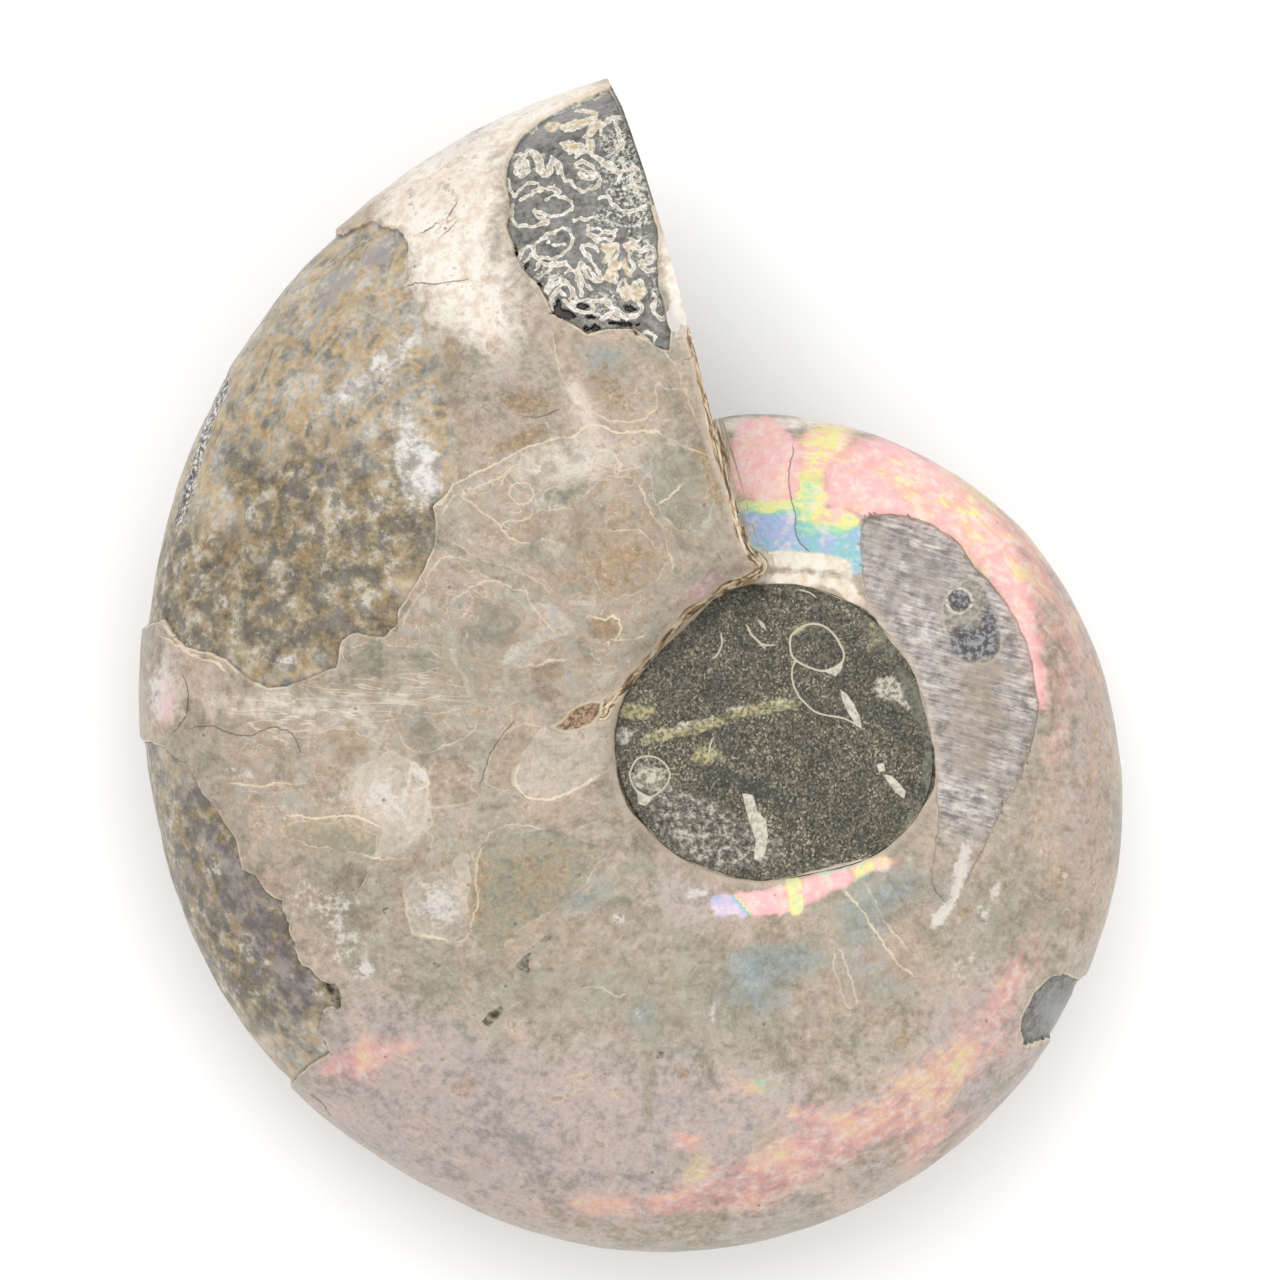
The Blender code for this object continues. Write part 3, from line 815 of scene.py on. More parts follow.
# Bright nacre on the earlier turn: a place on the colour ramp, how soft its edge is, the outline
NACRE = (
    (0.00, 4, ((731, 448), (740, 424), (766, 418), (784, 426), (800, 446), (801, 470), (797, 500),
     (770, 501), (748, 497), (734, 482))),
    (0.22, 3, ((739, 500), (770, 503), (798, 498), (798, 510), (768, 513), (747, 510))),
    (0.64, 3, ((743, 514), (770, 515), (798, 513), (795, 525), (799, 540), (806, 552), (776, 551),
     (750, 550))),
    (0.18, 4, ((798, 482), (814, 478), (824, 492), (828, 508), (824, 522), (808, 521),
     (796, 518))),
    (0.15, 14, ((802, 440), (830, 432), (850, 440), (838, 458), (822, 476), (800, 480))),
    (0.02, 12, ((828, 478), (838, 456), (860, 442), (894, 446), (930, 462), (956, 482),
     (966, 510), (950, 530), (920, 522), (890, 512), (863, 514), (848, 508), (832, 506))),
    (0.05, 14, ((960, 490), (984, 510), (1008, 540), (1024, 580), (1036, 636), (1042, 690),
     (1034, 700), (1024, 650), (1010, 604), (985, 566), (962, 546), (944, 526))),
    (0.20, 3, ((828, 508), (842, 511), (858, 514), (854, 530), (838, 530), (826, 524))),
    (0.78, 4, ((712, 897), (735, 896), (748, 910), (744, 916), (716, 911))),
    (0.00, 5, ((735, 893), (760, 891), (786, 890), (788, 912), (760, 914), (742, 910))),
    (0.20, 4, ((789, 878), (797, 876), (803, 898), (800, 914), (792, 916), (787, 900))),
    (0.00, 6, ((803, 886), (820, 874), (845, 869), (852, 878), (835, 890), (815, 899),
     (804, 902))),
    (0.75, 3, ((818, 869), (845, 862), (850, 867), (825, 874))),
    (0.15, 5, ((850, 868), (862, 862), (880, 858), (890, 862), (872, 870), (856, 876))),
    (0.40, 3, ((797, 521), (820, 523), (840, 525), (840, 534), (815, 534), (796, 531))),
    (0.54, 3, ((795, 532), (820, 536), (838, 536), (848, 530), (862, 528), (863, 548), (860, 572),
     (838, 562), (818, 552), (801, 549))),
)

# Soft spots in pixels: across, down, half width, half height, clockwise turn, strength
# Pale shell, and painted light: the top of the flank and its dark stone are lightened where the
# light falls strongest
PALE_AND_LIT_TOP = (
    (675, 285, 12, 56, -14, 1.0), (575, 455, 80, 26, -6, 0.35), (330, 706, 120, 24, 4, 0.32),
    (440, 205, 85, 62, -42, 1.0), (530, 115, 62, 34, -38, 1.0), (470, 290, 72, 62, 0, 0.75),
    (505, 350, 50, 40, 0, 0.3), (580, 400, 16, 40, -30, 0.5), (940, 470, 60, 18, 22, 0.4),
    (590, 100, 30, 30, 0, 0.6), (640, 170, 20, 60, 0, 0.3), (760, 424, 60, 9, 0, 0.9),
    (850, 424, 60, 9, 8, 0.9), (415, 470, 20, 50, 0, 0.3), (360, 790, 120, 40, 10, 0.25),
    (555, 500, 76, 50, 0, 0.22), (255, 714, 80, 26, 0, 0.24), (165, 690, 20, 50, 0, 0.4),
    (450, 200, 50, 40, 0, 0.4), (1056, 1012, 22, 28, -30, 0.9))
# The bright lip of the umbilicus below the mouth, and where thin layers end all over the flank
LIP = ((803, 560, 54, 10, 4, 1.3), (770, 560, 20, 8, 0, 0.6), (845, 570, 14, 7, 24, 0.5),
       (802, 580, 56, 11, 3, 0.9), (850, 594, 20, 9, 36, 0.9))
LAYERED = (
    (560, 500, 120, 70, 0, 1.0), (480, 640, 150, 60, 0, 1.0), (350, 720, 150, 44, 0, 1.0),
    (300, 800, 100, 60, 20, 0.7), (650, 520, 70, 80, 0, 0.8), (430, 860, 80, 60, 0, 0.5),
    (600, 640, 60, 60, 0, 0.7), (620, 370, 60, 50, 0, 0.4), (870, 950, 70, 60, 30, 0.4),
    (700, 1000, 200, 60, 0, 0.3), (560, 930, 80, 60, 0, 0.4))
# The outer edge of the last turn, from the mouth's far side to where it leaves the umbilicus
LAST_EDGE = (
    (690, 338), (697, 366), (706, 398), (713, 428), (722, 462), (730, 498), (738, 528),
    (748, 552), (761, 566), (748, 577), (731, 583), (711, 599), (690, 614), (672, 629),
    (655, 650), (640, 669), (624, 687), (609, 701), (602, 712))
LAST_EDGE_LENGTH = 34.0
NOTCH = ((552, 727), (562, 722), (570, 712), (580, 706), (592, 702), (601, 703), (599, 714),
         (591, 723), (578, 729), (564, 731))
# Where the upper window has no step, and where a fading end of the ground flat lies
SOFT_EDGE = (
    (415, 284, 26, 30, 0, 1.0), (432, 335, 26, 44, 14, 1.2), (450, 400, 26, 50, 12, 1.2),
    (459, 450, 20, 34, 0, 1.2))
TAIL = ((955, 880, 60, 56, 0, 1.0), (930, 905, 40, 40, 0, 1.0))
# Where thin layers end in lines across the whorl, and where the bared stone is earthy
STRATA = (
    (370, 700, 130, 34, 0, 1.0), (270, 720, 60, 40, 0, 0.7), (300, 800, 90, 60, 0, 0.45),
    (450, 660, 70, 30, 0, 0.6), (640, 1190, 200, 20, 0, 0.6), (430, 1140, 60, 16, 30, 0.6))
EARTHY = (
    (350, 530, 120, 62, 0, 1.2), (250, 610, 130, 70, 0, 1.1), (360, 620, 60, 40, 0, 0.8),
    (180, 560, 40, 70, 10, 1.0), (400, 440, 40, 60, 0, 0.5), (240, 900, 110, 190, -25, 1.3),
    (450, 360, 24, 50, -14, 0.8), (330, 440, 40, 30, 0, 0.4), (265, 470, 60, 46, 0, 0.7))
OLIVE = (
    (672, 400, 14, 30, -20, 0.7), (700, 470, 22, 55, -15, 0.5), (640, 590, 90, 70, 0, 0.3),
    (760, 418, 60, 8, 0, 0.8), (870, 432, 60, 10, 18, 0.7), (980, 490, 60, 10, 30, 0.6),
    (430, 700, 160, 60, 0, 0.25), (370, 850, 110, 70, 30, 0.3), (650, 1054, 12, 40, 0, 0.8),
    (494, 1015, 8, 7, 0, 1.0), (610, 980, 120, 60, 10, 0.5), (460, 655, 70, 36, 0, 0.4),
    (540, 885, 70, 44, -20, 0.6), (350, 770, 120, 40, 0, 0.3), (648, 1105, 8, 34, 0, 0.9),
    (498, 1050, 9, 18, -8, 0.7), (770, 1136, 28, 24, -30, 0.5), (684, 1158, 26, 12, 0, 0.5),
    (780, 1045, 110, 30, -6, 0.45), (440, 975, 60, 30, 0, 0.4), (497, 905, 28, 52, 6, 1.0),
    (340, 838, 44, 20, 6, 0.5))
TEAL = (
    (600, 990, 80, 40, 0, 0.5), (672, 478, 30, 38, 0, 0.5), (546, 428, 11, 10, 0, 0.8),
    (592, 352, 34, 14, 10, 0.45), (590, 893, 40, 22, -14, 0.38), (543, 834, 30, 20, 0, 0.5),
    (775, 960, 60, 26, 0, 1.0), (750, 996, 60, 26, 0, 0.8), (800, 1030, 60, 20, -8, 0.4),
    (1005, 905, 12, 14, 0, 0.5), (905, 890, 36, 34, 0, 0.7), (862, 920, 34, 34, 0, 0.7),
    (520, 690, 70, 18, -8, 0.4), (610, 372, 34, 34, 0, 0.55), (420, 650, 34, 26, 0, 0.35),
    (600, 500, 60, 30, 0, 0.25), (880, 985, 60, 36, 30, 0.55), (150, 620, 10, 22, 10, 0.8),
    (690, 1052, 60, 14, 0, 0.5), (648, 1020, 24, 26, 0, 0.5), (570, 905, 50, 18, -20, 0.4))
ROSE = (
    (163, 684, 30, 58, 0, 0.3), (620, 1140, 340, 110, 0, 0.9), (400, 1070, 130, 80, 30, 0.8),
    (1088, 720, 32, 220, 2, 0.6), (980, 1050, 110, 80, -45, 0.7), (690, 900, 60, 30, 20, 0.6),
    (1040, 560, 60, 60, 0, 0.4), (330, 700, 150, 40, 0, 0.25), (500, 380, 40, 60, 0, 0.4))
BROWN = (
    (533, 404, 22, 15, 0, 1.1), (512, 398, 16, 12, 0, 0.9), (528, 439, 34, 9, -25, 1.0),
    (692, 420, 9, 40, -18, 0.6), (975, 715, 44, 70, 0, 0.95), (603, 628, 19, 10, 0, 0.9),
    (454, 352, 12, 24, -10, 1.0), (504, 866, 34, 40, 0, 0.3), (494, 920, 26, 34, 14, 0.3),
    (560, 856, 50, 26, -10, 0.42), (548, 900, 40, 30, -20, 0.4), (608, 380, 36, 34, 0, 0.45),
    (515, 365, 40, 34, 0, 0.35), (1096, 740, 18, 190, 0, 0.42), (610, 568, 60, 34, 0, 0.46),
    (520, 440, 40, 7, -24, 0.7), (700, 452, 16, 8, 20, 0.9), (460, 390, 12, 40, -10, 0.5),
    (683, 1073, 9, 8, 0, 1.0), (924, 937, 26, 13, 40, 0.6), (1006, 923, 20, 18, 0, 0.5),
    (902, 973, 20, 12, 30, 0.5), (163, 728, 14, 7, 0, 0.6), (576, 716, 24, 8, -24, 1.6),
    (540, 675, 30, 8, 0, 0.5), (640, 560, 20, 12, 0, 0.2), (712, 480, 5, 40, -18, 0.8),
    (470, 660, 26, 14, 0, 0.3), (690, 1100, 60, 14, 0, 0.2), (1060, 880, 18, 50, 25, 0.3),
    (468, 1086, 16, 13, -20, 0.5), (905, 1030, 5, 24, 0, 0.8), (894, 1046, 15, 7, -30, 0.7),
    (892, 1010, 18, 3.5, 5, 0.8), (964, 910, 11, 8, 0, 0.7), (478, 900, 6, 36, 0, 0.6),
    (675, 990, 10, 12, 0, 0.5))
# White flakes and specks; the long spot along the top rim is a painted highlight, lifting the rim
# where it curves away from the light
WHITE_AND_LIT_RIM = (
    (672, 320, 10, 14, 0, 0.9), (470, 136, 80, 12, -34, 0.7), (158, 690, 14, 40, 0, 0.5),
    (961, 870, 8, 36, 12, 1.0), (942, 914, 8, 22, 34, 0.9), (345, 930, 30, 40, 0, 0.4),
    (395, 800, 34, 40, 0, 0.35), (421, 774, 9, 9, 0, 0.9), (548, 422, 9, 10, 0, 0.5),
    (436, 904, 30, 28, 0, 0.65), (520, 650, 20, 10, -10, 0.4), (365, 970, 12, 14, 0, 0.7),
    (697, 893, 14, 8, 10, 0.8), (619, 919, 8, 10, 0, 0.7), (994, 890, 13, 12, 0, 0.6),
    (984, 914, 12, 10, 0, 0.6), (640, 1004, 8, 14, 0, 0.4), (712, 1010, 6, 16, 0, 0.5),
    (675, 318, 10, 18, 10, 0.9), (240, 772, 26, 8, 0, 0.5), (320, 900, 40, 20, 0, 0.4),
    (360, 790, 50, 12, 0, 0.2), (460, 535, 30, 20, 0, 0.2), (970, 960, 30, 12, -40, 0.3))
# Spots in the bare stone: ochre, or slate where the strength is negative, then lilac and white,
# and golden ones on the sutures, in sixths of a pixel as those are
OCHRE = (
    (241, 483, 26, 30, 0, 0.7), (262, 420, 34, 34, 0, 0.5), (398, 260, 8, 9, 0, 1.0),
    (414, 574, 8, 20, 32, 1.4), (299, 548, 16, 22, 20, 0.9), (350, 515, 50, 46, 0, 0.45),
    (340, 300, 60, 30, -35, 0.4), (405, 480, 14, 30, 15, 0.8), (390, 585, 26, 34, 20, 0.4),
    (238, 427, 12, 11, 0, -1.0), (290, 516, 16, 20, 0, -1.0), (283, 596, 24, 22, 0, -1.1),
    (420, 503, 14, 10, 0, -0.6), (200, 590, 30, 40, 0, -0.5), (240, 650, 40, 24, 0, -0.6),
    (170, 800, 40, 60, 20, -0.4), (230, 960, 60, 90, -20, -0.5), (290, 1030, 30, 30, 0, -0.3))
LILAC = (
    (374, 252, 17, 10, 0, 1.0), (334, 279, 18, 11, -5, 1.0), (395, 236, 20, 7, 0, 0.8),
    (322, 298, 16, 9, -10, 0.9), (310, 322, 16, 8, -40, 0.6), (280, 434, 14, 9, 0, 0.6),
    (185, 790, 20, 30, 30, 0.8), (250, 900, 30, 50, -30, 0.6), (290, 1000, 30, 30, 0, 0.6),
    (180, 880, 16, 40, -20, 0.5), (216, 866, 30, 54, -24, 0.6), (270, 965, 36, 60, -30, 0.7))
SNOW = (
    (330, 290, 90, 60, -40, 0.3), (400, 400, 30, 90, 0, 0.3), (370, 371, 72, 17, -38, 0.8),
    (410, 440, 30, 44, 10, 0.4), (423, 482, 24, 40, 8, 0.75), (282, 659, 15, 9, 0, 0.7),
    (388, 540, 13, 7, 0, 0.9), (330, 560, 30, 16, 0, 0.3), (360, 590, 30, 20, 0, 0.4),
    (200, 540, 26, 30, 0, 0.4), (300, 640, 30, 20, 0, 0.5), (300, 430, 40, 14, -35, 0.4),
    (420, 460, 26, 44, 0, 0.3))
GOLD = (
    (655, 235, 60, 24, 10, 1.0), (590, 285, 110, 18, -12, 1.0), (560, 160, 110, 12, -20, 0.8),
    (670, 335, 40, 40, 0, 0.7), (550, 440, 70, 20, 22, 0.8), (740, 120, 60, 14, -20, 0.8),
    (905, 1310, 80, 50, 0, 1.0), (700, 1180, 60, 100, 0, 0.4), (340, 270, 60, 14, -40, 0.8))
# Nacre colours: the same six and the place on the colour ramp
GLOW = (
    (765, 462, 34, 42, 0, 1.2, 0.0), (742, 450, 12, 30, 0, 0.7, 0.08),
    (766, 507, 31, 5, 0, 1.4, 0.22), (764, 515, 28, 4, 0, 1.2, 0.42),
    (769, 534, 28, 15, 0, 1.3, 0.67), (809, 502, 18, 26, 0, 1.3, 0.21),
    (826, 446, 26, 16, 10, 0.8, 0.24), (850, 452, 22, 14, 0, 0.7, 0.12),
    (845, 492, 20, 28, 0, 1.1, 0.03), (892, 478, 50, 36, 24, 1.1, 0.02),
    (912, 500, 40, 14, 20, 0.6, 0.1), (968, 530, 40, 16, 42, 0.9, 0.06),
    (1000, 566, 26, 16, 50, 0.6, 0.03), (1012, 600, 14, 26, -10, 0.55, 0.0),
    (1024, 640, 12, 30, -6, 0.75, 0.0), (1032, 670, 8, 16, 0, 0.7, 0.01),
    (848, 530, 18, 5, 12, 1.3, 0.22), (808, 532, 12, 6, 10, 1.2, 0.4),
    (826, 543, 26, 9, 18, 1.3, 0.52), (846, 556, 18, 9, 30, 1.2, 0.55),
    (896, 864, 12, 8, 0, 0.7, 0.08), (1036, 560, 22, 40, -36, 0.6, 0.07),
    (1058, 640, 22, 70, -10, 0.75, 0.03), (1056, 730, 18, 60, 0, 0.55, 0.0),
    (868, 890, 30, 26, 20, 0.42, 0.5), (905, 900, 20, 24, 20, 0.3, 0.6),
    (762, 958, 44, 20, 0, 0.34, 0.52), (740, 985, 26, 26, 0, 0.3, 0.56),
    (788, 998, 30, 16, 0, 0.3, 0.56), (858, 954, 12, 16, 0, 0.4, 0.82),
    (775, 1084, 24, 13, -4, 0.5, 0.3), (728, 1088, 40, 14, 4, 0.5, 0.03),
    (806, 1112, 26, 14, -10, 0.6, 0.02), (756, 1176, 70, 28, -4, 1.0, 0.08),
    (716, 1200, 76, 18, 0, 0.85, 0.05), (640, 1204, 76, 16, 4, 0.65, 0.02),
    (686, 1142, 22, 12, 0, 0.85, 0.0), (812, 1144, 50, 34, -24, 0.85, 0.04),
    (905, 1112, 46, 44, -40, 0.9, 0.07), (934, 1076, 30, 34, -40, 0.85, 0.1),
    (960, 1064, 16, 28, 0, 0.6, 0.16), (985, 1036, 40, 60, 30, 0.65, 0.01),
    (858, 1132, 44, 26, -30, 0.95, 0.05), (1002, 1000, 18, 30, 20, 0.5, 0.02),
    (1016, 552, 34, 60, -38, 0.7, 0.06), (968, 486, 44, 14, 40, 0.55, 0.14),
    (928, 452, 40, 9, 26, 0.55, 0.19), (560, 1210, 60, 16, 0, 0.4, 0.02),
    (1022, 962, 24, 34, 30, 0.75, 0.05), (1040, 900, 20, 44, 10, 0.4, 0.04),
    (940, 1140, 60, 22, -36, 0.65, 0.02), (368, 1054, 44, 18, -12, 1.0, 0.0),
    (348, 1072, 36, 14, 6, 0.9, 0.02), (412, 1044, 14, 9, -20, 0.5, 0.04),
    (402, 1032, 8, 5, -20, 0.5, 0.97), (474, 1163, 32, 9, 6, 0.45, 0.04),
    (518, 1152, 20, 9, 0, 0.35, 0.98), (420, 1128, 50, 12, 26, 0.35, 0.02),
    (711, 582, 32, 12, -36, 0.85, 0.97), (680, 606, 26, 12, -42, 0.35, 0.85),
    (660, 862, 40, 12, 28, 0.3, 0.98), (1086, 650, 18, 70, -10, 0.4, 0.03),
    (1096, 760, 14, 80, 0, 0.2, 0.02), (166, 700, 14, 26, 0, 0.35, 0.98))
# Hollows in the stone and the shell: the same six, the strength in millimetres
HOLLOWS = (
    (433, 908, 30, 32, 0, 0.18), (454, 568, 2.5, 2.5, 0, 0.3), (524, 964, 5, 4, 30, 0.35),
    (528, 955, 5, 2.5, -50, 0.25), (550, 933, 5, 3, -30, 0.3), (534, 944, 3, 2.5, 0, 0.25),
    (437, 965, 3, 2.5, 0, 0.25), (326, 990, 6, 9, -30, 0.4), (337, 1004, 3, 5, 0, 0.35),
    (428, 1135, 3, 1.5, 0, 0.2), (345, 1083, 3, 1.5, 0, 0.2), (828, 903, 3, 2, 20, 0.2),
    (862, 886, 5, 2, -20, 0.2), (853, 1007, 4, 2, 0, 0.2), (808, 943, 2.5, 2, 0, 0.2),
    (386, 911, 2.5, 2.5, 0, 0.25), (568, 897, 2.5, 2.5, 0, 0.25), (660, 1055, 3, 3, 0, 0.3),
    (686, 951, 2.5, 2.5, 0, 0.25), (665, 949, 2.5, 2.5, 0, 0.25), (494, 1015, 8, 6, 0, 0.35),
    (628, 232, 4, 5, 0, 0.3))
# Deep pits in the dark stone
PITS = (
    ((551, 313), (553, 304), (557, 298), (561, 302), (560, 308), (568, 309), (575, 315),
     (569, 318), (559, 318)),
    ((573, 303), (581, 301), (589, 304), (584, 308), (576, 307)),
    ((580, 327), (585, 323), (589, 326), (594, 323), (599, 327), (595, 331), (590, 329),
     (585, 331)),
    ((583, 315), (591, 313), (600, 316), (592, 319)),
    ((602, 319), (616, 320), (630, 321), (640, 324), (628, 326), (612, 324)),
    ((631, 330), (637, 329), (638, 333), (633, 334)),
    ((511, 246), (514, 243), (518, 254), (517, 257), (513, 252)),
    ((521, 264), (527, 258), (530, 263), (524, 269)),
    ((535, 281), (540, 280), (541, 285), (537, 284)),
    ((622, 305), (630, 303), (636, 308), (630, 311), (624, 309)),
)
CHIPPED_RIM = ((222, 378), (208, 408), (198, 436), (189, 466), (180, 499), (172, 520))
# An old hole in the ground flat, where grey stone shows
EYE = ((944, 618), (943, 606), (949, 594), (964, 582), (978, 579), (989, 593), (997, 616),
       (1002, 641), (997, 658), (981, 664), (961, 656), (947, 632))
STAINS = ((960, 601, 15, 15, 0, 1.5), (972, 644, 27, 19, 16, 1.5), (990, 622, 12, 30, -14, 0.8))
SMALL_HOLE = (960.0, 601.0, 12.6)


def ragged(x, y, strength, seed):
    """How far a drawn edge strays at each place, in pixels."""
    flat = np.zeros(len(x))
    return strength * (lumps(x, y, flat, 15.0, seed) + 0.6 * lumps(x, y, flat, 6.5, seed + 1))


def upper_edge(x, y):
    return edge_distance(UPPER_WINDOW, x, y) + ragged(x, y, 1.6, 11)


def lower_edge(x, y):
    return edge_distance(LOWER_WINDOW, x, y) + ragged(x, y, 1.8, 21)


def suture_edge(x, y):
    return edge_distance(SUTURE_WINDOW, x, y) + ragged(x, y, 1.0, 31)


def rim_edge(x, y):
    return edge_distance(RIM_WINDOW, x, y) + ragged(x, y, 1.5, 41)


def ground_edge(x, y):
    return edge_distance(curved(GROUND_PATCH, True, 3), x, y) + ragged(x, y, 1.5, 51)


def plug_edge(x, y):
    return edge_distance(curved(PLUG_OUTLINE, True, 3), x, y) + ragged(x, y, 0.8, 61)


def main_flake(x, y):
    return line_distance(curved(FLAKE_EDGES[0][1], steps=2), x, y)[0]


def grey_flake(x, y):
    return line_distance(curved(FLAKE_LINES[0][1], steps=2), x, y)[0]


def in_window(points, edge, wrap):
    """A window's signed distance at each point, closed off below its wrap past the venter."""
    x, y = seen_at(points)
    depth = -points[:, 2] - wrap
    frayed = lumps(x, y, depth, 12.0, 71) * 0.8 + lumps(x, y, depth, 5.0, 72) * 0.4
    return np.maximum(edge(x, y), (depth + frayed) / PIXEL)


def nearest_line(lines, x, y, steps=3):
    """Signed distance to whichever line is nearest, and how near that is, from 0 to 1."""
    best = np.full(len(x), FAR_OFF)
    for line in lines:
        found = line_distance(curved(line, steps=steps), x, y)[0]
        best = np.where(np.abs(found) < np.abs(best), found, best)
    return best, 1 - smooth_step(np.abs(best), 4.0, 9.0)


def coil_skin(laid):
    """The skin of the whole coil with its relief and the fields that its colours go by."""
    points, faces, run, reach, rim = coil_grid()
    radius = np.hypot(points[:, 0], points[:, 1])
    swell = np.interp(radius, MOUTH_SWELL_RADII, MOUTH_SWELL)
    swell = swell * np.where(run > 0, smooth_step(run, run.max() - 7, run.max()), 1.0)
    ahead = np.stack([points[:, 1], -points[:, 0], np.zeros(len(points))], -1)
    points = points + ahead / np.maximum(radius, 1)[:, None] * swell[:, None]

    mesh = mesh_from("ammonite_skin", points, faces)
    for name, values in (("run", run), ("reach", reach), ("rim", rim)):
        set_field(mesh, name, values)
    face_outward(mesh)

    points = read_points(mesh)
    x, y = seen_at(points)
    shown = points[:, 2] > 0
    fine = shown & (suture_edge(x, y) < 5) & (read_field(mesh, "rim") < 0.3)
    refine(mesh, fine, SUTURE_CUTS)

    points = read_points(mesh)
    for edge in (upper_edge, lower_edge, suture_edge, rim_edge, ground_edge, main_flake,
                 grey_flake):
        reach_pixels = 1.2 if edge is suture_edge else 3.8
        points = snap(points, read_normals(mesh), edge, reach_pixels, 0.8)
    x, y = seen_at(points)
    normals = read_normals(mesh)
    run = read_field(mesh, "run")
    reach = read_field(mesh, "reach")
    rim = read_field(mesh, "rim")
    shown = smooth_step(points[:, 2], -1.0, 0.5)
    skin = rim < 0

    windows = [in_window(points, edge, wrap)
               for edge, wrap in ((upper_edge, LONG_WRAP), (lower_edge, LONG_WRAP),
                                  (suture_edge, SHORT_WRAP), (rim_edge, SHORT_WRAP))]
    bare = np.where(skin, np.minimum.reduce(windows), FAR_OFF)
    dark = np.minimum(windows[2], windows[3]) < np.minimum(windows[0], windows[1])
    soft = np.clip(bloom(x, y, SOFT_EDGE), 0, 1)
    relief = -SHELL_THICKNESS * smooth_step(-bare / (1 + 14 * soft), -0.9, 0.9)
    stone_lumps = lumps(*points.T, 3.0, 81) * 0.07 + lumps(*points.T, 1.3, 82) * 0.04
    shell_lumps = lumps(*points.T, 7.0, 83) * 0.08 + lumps(*points.T, 2.6, 84) * 0.03
    relief += np.where(bare < 0, stone_lumps, shell_lumps)
    relief += 0.05 * lumps(run, reach / 9, 0 * run, 2.2, 85)

    for drop, line in FLAKE_EDGES + FLAKE_LINES:
        away, share = line_distance(curved(line, steps=2), x, y)
        taper = np.clip(4 * share * (1 - share) * 2.5, 0, 1)
        fade = smooth_step(-away, -0.9, 0.9) * (1 - smooth_step(-away, 8, 70))
        relief -= FLAKE_DEEPENED * drop * taper * fade * shown * (bare > 0)
    for line in CRACKS:
        away = line_distance(curved(line, steps=2), x, y)[0]
        relief -= CRACK_DEPTH * np.exp(-(away / 2.2) ** 2) * shown
    hollow = np.zeros(len(x))
    for spot in HOLLOWS:
        hollow += bloom(x, y, (spot,))
    pits = np.minimum.reduce([edge_distance(outline, x, y) for outline in PITS])
    pits = smooth_step(-pits - 1.6 * lumps(x, y, 0 * x, 3.4, 105), -0.2, 1.4)
    chipped = line_distance(curved(CHIPPED_RIM), x, y)[0]
    groove = np.exp(-(chipped / 5) ** 2) * (0.6 + 0.4 * lumps(x, y, 0 * x, 9.0, 86))
    relief -= shown * (hollow + GROOVE_DEPTH * groove + PIT_DEPTH * pits)
    relief = np.where(skin, relief, -MOUTH_DEPTH * smooth_step(rim, 0.5, 1.3)
                      + stone_lumps * smooth_step(rim, 1.0, 2.5))
    seat = np.hypot(points[:, 0], points[:, 1]) < umbilicus_radius(
        np.degrees(np.arctan2(points[:, 0], points[:, 1]))) - 0.02
    relief = np.where(seat & skin, 0.0, relief)
    points = points + normals * relief[:, None]

    ground = np.where((points[:, 2] > 0) & skin, ground_edge(x, y), FAR_OFF)
    level = ground_plane(points[:, 0], points[:, 1]) + 0.02 * stone_lumps
    points[:, 2] = np.where(ground < 0, np.minimum(points[:, 2], level), points[:, 2])

    points = above_paper(points, laid)
    mesh.vertices.foreach_set("co", (points * MM).ravel())

    flakes, near_flake = nearest_line([line for _, line in FLAKE_EDGES], x, y)
    lines, near_line = nearest_line([line for _, line in FLAKE_LINES], x, y)
    cracks, near_crack = nearest_line(CRACKS, x, y)
    sutures = [[(SUTURE_CORNER[0] + across / SUTURE_SCALE, SUTURE_CORNER[1] + down / SUTURE_SCALE)
                for across, down in line] for line in SUTURES]
    frill = [1.7 * lumps(x, y, 0 * x, 7.0, seed) + 0.8 * lumps(x, y, 0 * x, 3.6, seed + 1)
             for seed in (101, 103)]
    suture = SUTURE_WIDTH - np.minimum.reduce(
        [np.abs(line_distance(curved(line, steps=3), x + frill[0], y + frill[1])[0])
         for line in sutures + list(SMALL_SUTURES)])
    sizes = (x - SUTURE_CORNER[0]) * SUTURE_SCALE, (y - SUTURE_CORNER[1]) * SUTURE_SCALE
    weights = [bloom(x, y, (spot[:6],)) for spot in GLOW]
    hues = [spot[6] for spot in GLOW]
    bright = np.zeros(len(x))
    for hue, softness, outline in NACRE:
        inside = edge_distance(curved(outline, True, 3), x, y) + ragged(x, y, 3.0, 97)
        inside = smooth_step(-inside, -softness, 0.7 * softness)
        bright = np.maximum(bright, inside)
        weights.append(2 * inside)
        hues.append(hue)
    total = np.sum(weights, axis=0)
    keen = [weight ** 3 for weight in weights]
    phase = sum(weight * hue for weight, hue in zip(keen, hues))
    phase = phase / np.maximum(np.sum(keen, axis=0), 1e-6)
    edge, share = line_distance(curved(LAST_EDGE), x, y)
    edge = np.where(np.abs(edge) > 14, 30.0, edge) + 60 * (1 - shown)

    def flakes_of(outlines, frayed=3.4):
        away = np.minimum.reduce([edge_distance(outline, x, y) for outline in outlines])
        return np.clip(away + ragged(x, y, frayed, 95), -NARROW, NARROW) + 2 * NARROW * (1 - shown)

